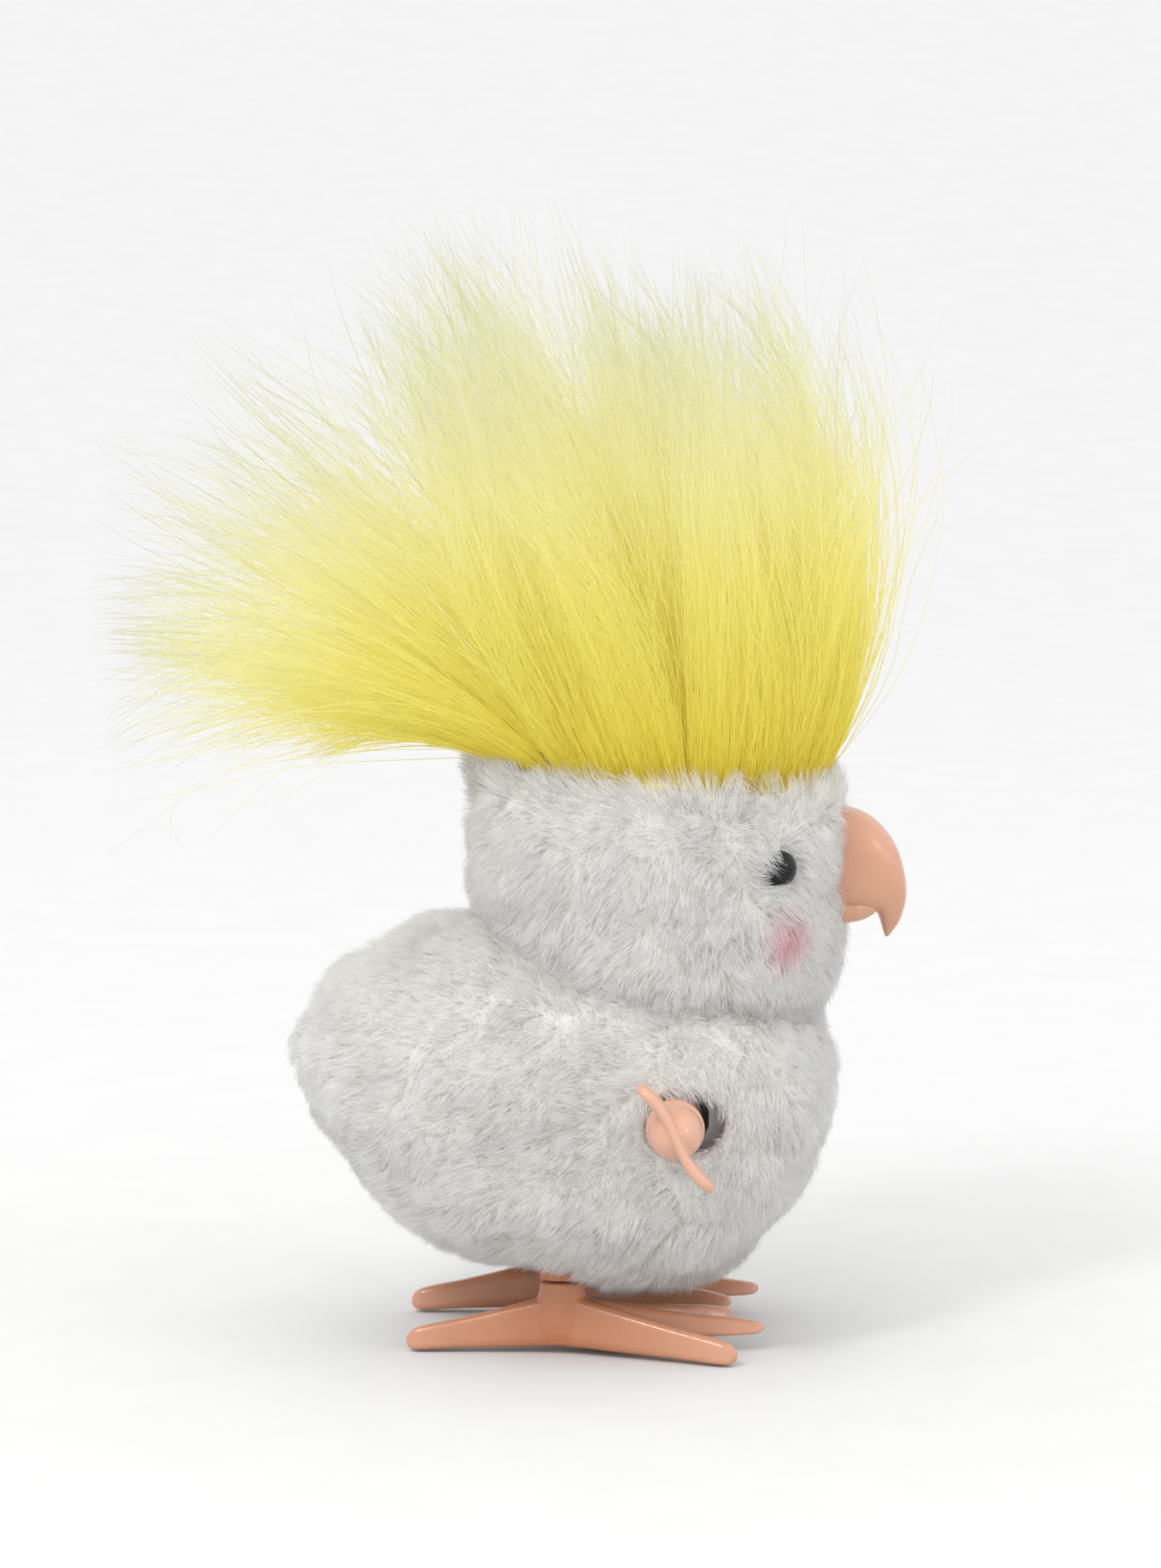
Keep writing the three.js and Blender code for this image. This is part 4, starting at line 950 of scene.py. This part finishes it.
def beak():
    """Upper and lower mandible, each a loft from the face to its tip."""

    def mandible(name, ridge, edge, widths, power):
        count = 40
        top = open_curve(ridge, count) * MM
        low = open_curve(edge, count) * MM
        wide = np.interp(np.linspace(0, 1, count), np.linspace(0, 1, len(widths)), widths) * MM
        turn = np.linspace(0, TAU, 40, endpoint=False)
        rings = []
        for a, b, w in zip(top, low, wide):
            centre, half = (a + b) / 2, (a - b) / 2
            up = rounder(np.sin(turn), power)
            side = rounder(np.cos(turn), power)
            rings.append(np.stack([centre[0] + half[0] * up, w * side, centre[1] + half[1] * up], axis=1))
        made = loft(name, rings)
        modified(made, "SUBSURF", levels=1, render_levels=1)
        apply_modifiers(made)
        paint(made, peach)
        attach(made, "bird")
        return made

    # Points of the ridge and the edge, forward and up in millimetres, and half widths from face to tip
    upper = mandible(
        "beak_upper",
        [(35.5, 74.9), (39.5, 74.9), (43.4, 73.4), (46.8, 69.4), (48.3, 63.6), (47.6, 59.2), (45.9, 56.5)],
        [(35.5, 60.0), (39.0, 60.0), (42.4, 60.1), (43.9, 60.0), (44.5, 59.0), (44.9, 57.7), (45.4, 56.3)],
        [6.3, 6.3, 6.1, 5.4, 4.2, 2.6, 0.5],
        0.7,
    )
    mandible(
        "beak_lower",
        [(35.5, 62.4), (39, 62.4), (42.2, 62.2), (43.8, 61.4)],
        [(35.5, 58.3), (39, 58.5), (42.0, 59.0), (43.7, 59.9)],
        [5.7, 5.7, 5.3, 3.9],
        0.65,
    )
    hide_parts("beak")


def eyes():
    for name in ("eye_right", "eye_left"):
        at = middle(name)
        low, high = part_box(name)
        side = -1 if at[1] < 0 else 1
        turn = side * math.radians(48)
        out = np.array([math.cos(turn), math.sin(turn), 0])
        radius = (high[2] - low[2]) / 2
        centre = np.array([HEAD_X, 0, at[2]]) + out * (HEAD_RADIUS - 2.2 * MM)
        across = np.cross(Z, out)
        rings = []
        for angle in np.linspace(0.02, math.pi * 0.62, 22):
            ahead = centre + out * radius * 0.92 * math.cos(angle)
            size = radius * math.sin(angle)
            rings.append(circle(ahead, across, Z, size, 48))
        for back, size in ((2.4, 0.55), (5.5, 0.5)):  # the stem behind the bead
            rings.append(circle(centre - out * back * MM, across, Z, radius * size, 48))
        made = loft(name + "_bead", rings)
        paint(made, black)
        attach(made, "bird")
        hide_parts(name)


def circle(centre, across, up, radius, sides):
    turn = np.linspace(0, TAU, sides, endpoint=False)[:, None]
    return centre + (np.cos(turn) * across + np.sin(turn) * up) * radius


# The key's thumb bar
BAR_LEAN = math.radians(-55)
BAR_HALF_LENGTH = 8.9 * MM
BAR_HALF_DEPTH = 2.6 * MM
BAR_HALF_WIDTH = 0.95 * MM
BAR_BEND = 0.6 * MM


def key():
    """Hub with a collar and a domed end, and a thumb bar with swollen ends."""
    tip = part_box("key")[0][1]
    profile = [  # radius and distance from the tip
        (3.8, 14.6), (3.8, 10.2), (4.0, 9.9), (4.05, 9.2), (4.0, 8.5), (3.75, 8.2), (3.7, 6.6), (3.55, 5.4),
        (3.0, 3.9), (2.1, 2.8), (1.1, 2.2), (0.05, 2.0),
    ]
    outline = open_curve(profile, 60) * MM
    end_of_key = KEY_AXIS * [1, 0, 1] + Y * tip
    rings = [circle(end_of_key + Y * y, X, Z, radius, 64) for radius, y in outline]
    hub = loft("key_hub", rings)
    along = np.array([math.cos(BAR_LEAN), 0, math.sin(BAR_LEAN)])
    thick = np.array([-math.sin(BAR_LEAN), 0, math.cos(BAR_LEAN)])
    stations = np.linspace(-1, 1, 60)
    rings = []
    for s in stations:
        end = math.sqrt(max(1 - abs(s) ** 7, 0.0004))
        swell = 0.8 + 0.42 * abs(s) ** 2.2
        centre = end_of_key + Y * BAR_HALF_DEPTH + along * s * BAR_HALF_LENGTH
        centre = centre - thick * BAR_BEND * math.sin(math.pi * s)
        turn = np.linspace(0, TAU, 40, endpoint=False)
        power = 0.75
        deep = rounder(np.sin(turn), power) * BAR_HALF_DEPTH * end
        wide = rounder(np.cos(turn), power) * BAR_HALF_WIDTH * swell * end
        rings.append(centre + deep[:, None] * Y + wide[:, None] * thick)
    bar = loft("key_bar", rings)
    made = joined("key_moulding", [hub, bar])
    moulded(made, 0.17 * MM, 4)
    paint(made, key_peach)
    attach(made, "key_and_great_wheel")
    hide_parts("key")


# Half of a toe's cross section: outward as a share of its half width, upward as a share of its height
TOE_SECTION = [
    (0.0, 1.0), (0.3, 0.985), (0.52, 0.92), (0.68, 0.74), (0.86, 0.45), (1.0, 0.2), (0.95, 0.06), (0.6, 0.0),
    (0.0, 0.0),
]
# Height in millimetres and swell of the ankle
ANKLE = [(9.6, 1.0), (9.0, 1.0), (8.2, 1.04), (7.2, 1.12), (6.0, 1.25), (4.6, 1.4), (2.6, 1.45), (1.0, 1.3)]
# Height, half width and half depth of the shank, in millimetres
SHANK = [
    (9.95, 3.1, 1.85), (10.1, 3.25, 2.0), (13, 3.25, 2.0), (15, 3.3, 2.0), (18, 3.8, 2.0), (21, 4.1, 2.0),
    (23, 4.0, 2.0), (24.8, 3.0, 1.9), (25.8, 1.4, 1.7), (26.1, 0.2, 1.0),
]


def toe(tip, lift, foot_y, name):
    """A blade with a ridge along its top, from the ankle to a rounded tip."""
    tip = np.array([tip[0], tip[1], 0.0])
    across = unit(np.array([-tip[1], tip[0], 0.0]))
    stations = np.array([
        # along, half width, underside, top
        [0.00, 2.4, 0.6, 8.0], [0.16, 2.3, 0.6, 7.2], [0.28, 2.1, 0.5, 6.5],
        [0.47, 1.8, 0.4 + 0.5 * lift, 5.4 + 0.1 * lift], [0.66, 1.6, 0.3 + 0.7 * lift, 4.4 + 0.25 * lift],
        [0.85, 1.6, 0.1 + 0.9 * lift, 3.6 + 0.4 * lift], [0.94, 1.45, lift, 3.1 + 0.45 * lift],
        [0.985, 1.0, lift + 0.2, 2.5 + 0.6 * lift], [1.0, 0.45, lift + 0.7, 1.8 + 0.75 * lift],
    ])
    at = np.linspace(0, 1, 40) ** 0.9
    half, low, high = (np.interp(at, stations[:, 0], stations[:, k]) * MM for k in (1, 2, 3))
    right = np.array(TOE_SECTION)
    outline = np.vstack([right, right[-2:0:-1] * [-1, 1]])
    rings = []
    for a, h, z0, z1 in zip(at, half, low, high):
        base = np.array([0, foot_y, 0]) + tip * a
        rings.append(base + outline[:, :1] * across * h + (z0 + outline[:, 1:] * (z1 - z0)) * Z)
    return loft(name, rings)


def feet():
    for side, name in ((-1, "right"), (1, "left")):
        low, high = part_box("foot_" + name)
        foot_y = middle("leg_" + name)[1]
        seam = high[2]
        toes = [
            ((low[0], 0), 0.0),
            ((24 * MM, side * 10.5 * MM), 0.0),
            ((high[0], 0), 2.2),
            ((24 * MM, side * -9.5 * MM), 2.2),
        ]
        parts = [toe(tip, lift, foot_y, f"toe_{i}") for i, (tip, lift) in enumerate(toes)]
        rings = []
        turn = np.linspace(0, TAU, 48, endpoint=False)[:, None]
        for z, grow in ANKLE:
            wide, deep = 3.25 * MM * grow, 2.0 * MM * (grow * 1.1 - 0.1)
            rings.append(np.array([0, foot_y, z * MM]) + np.cos(turn) * X * wide + np.sin(turn) * Y * deep)
        parts.append(loft("ankle", rings))
        made = joined(f"foot_{name}_moulding", parts)
        moulded(made, 0.28 * MM, 6)
        settle(made, 0.0, seam)
        paint(made, foot_peach_shaded)
        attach(made, "legs")
        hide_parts("foot_" + name)


def settle(made, low, high):
    """Keeps a moulding between the ground and its seam."""
    count = len(made.data.vertices)
    points = np.empty(count * 3, np.float32)
    made.data.vertices.foreach_get("co", points)
    points = points.reshape(-1, 3)
    points[:, 2] = np.clip(points[:, 2], low, high)
    made.data.vertices.foreach_set("co", points.ravel())
    made.data.update()


def legs():
    """Oval shanks that widen to a round hip."""
    for name in ("right", "left"):
        turn = np.linspace(0, TAU, 48, endpoint=False)[:, None]
        axis = Y * middle("leg_" + name)[1]
        rings = [
            axis + Z * z * MM + np.cos(turn) * X * wide * MM + np.sin(turn) * Y * deep * MM
            for z, wide, deep in SHANK
        ]
        made = loft(f"leg_{name}_moulding", rings)
        paint(made, foot_peach_shaded)
        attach(made, "legs")
        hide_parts("leg_" + name)


# ---------------------------------------------------------------- CAD nodes that keep their shapes


def finish_cad_nodes():
    looks = {
        "shell_plastic": plastic("shell_look", (0.52, 0.52, 0.50), (0.62, 0.62, 0.60), 0.42),
        "case_plastic": plastic("case_look", (0.78, 0.78, 0.76), (0.84, 0.84, 0.82), 0.35),
        "gear_plastic": plastic("gear_look", (0.84, 0.82, 0.75), (0.88, 0.86, 0.80), 0.4),
        "rocker_plastic": plastic("rocker_look", (0.60, 0.12, 0.09), (0.68, 0.15, 0.12), 0.4),
        "steel": steel("steel_look", (0.55, 0.56, 0.58), (0.7, 0.71, 0.73), 0.3),
        "spring_steel": steel("spring_look", (0.25, 0.27, 0.32), (0.38, 0.4, 0.45), 0.3),
    }
    for entry in frame["record"]["subparts"]:
        look = looks.get(entry["material_slot"])
        if look:
            for place in frame["nodes"][entry["node"]].material_slots:
                place.material = look


# ---------------------------------------------------------------- stage, light and camera


def stage():
    """A wide pale floor that rises gently far behind the bird."""
    across = np.linspace(-12, 12, 9)
    along = np.concatenate([np.linspace(-12, 0.8, 6), np.linspace(1, 7, 40)])
    x, y = np.meshgrid(across, along)
    z = -0.3 * MM + 0.08 * np.maximum(y - 1, 0) ** 2
    faces = grid_faces(len(along), len(across), False)
    floor = mesh_object("floor", np.stack([x, y, z], axis=2).reshape(-1, 3), [faces])
    look, tree, shader = material("floor_look", (0.68, 0.68, 0.68), 0.9)
    stops = [(0.4, (0.675,) * 3), (0.6, (0.685,) * 3)]
    tree.links.new(ramp(tree, noise(tree, 60), stops), shader.inputs["Base Color"])
    paint(floor, look)


def lamp(name, place, target, size, power):
    data = bpy.data.lights.new(name, "AREA")
    data.shape = "DISK"
    data.size = size
    data.energy = power
    made = bpy.data.objects.new(name, data)
    bpy.context.scene.collection.objects.link(made)
    made.location = place
    made.rotation_euler = (Vector(target) - Vector(place)).to_track_quat("-Z", "Y").to_euler()


def lights():
    target = (0, 0, 0.07)
    lamp("key_light", (-0.5, -0.7, 0.9), target, 0.22, 3.4)
    lamp("side_light", (0.9, -0.5, 0.5), target, 0.3, 1.0)
    sun = bpy.data.lights.new("soft_sun", "SUN")
    sun.energy = 0.35
    sun.angle = math.radians(50)
    made = bpy.data.objects.new("soft_sun", sun)
    bpy.context.scene.collection.objects.link(made)
    made.rotation_euler = (math.radians(35), math.radians(-25), 0)
    world = bpy.data.worlds.new("studio")
    bpy.context.scene.world = world
    world.use_nodes = True
    background = world.node_tree.nodes["Background"]
    background.inputs["Color"].default_value = (1, 1, 1, 1)
    background.inputs["Strength"].default_value = 1.22
    bpy.context.scene.view_settings.view_transform = "Standard"


def camera():
    target = Vector((2.4 * MM, 0, 78 * MM))
    distance, elevation = 0.8, math.radians(7)
    data = bpy.data.cameras.new("camera")
    data.lens = 130.7
    made = bpy.data.objects.new("camera", data)
    bpy.context.scene.collection.objects.link(made)
    made.location = target + Vector((0, -math.cos(elevation), math.sin(elevation))) * distance
    made.rotation_euler = (target - made.location).to_track_quat("-Z", "Y").to_euler()
    bpy.context.scene.camera = made


camera()
stage()
lights()
plush()
crest()
beak()
eyes()
key()
legs()
feet()
finish_cad_nodes()
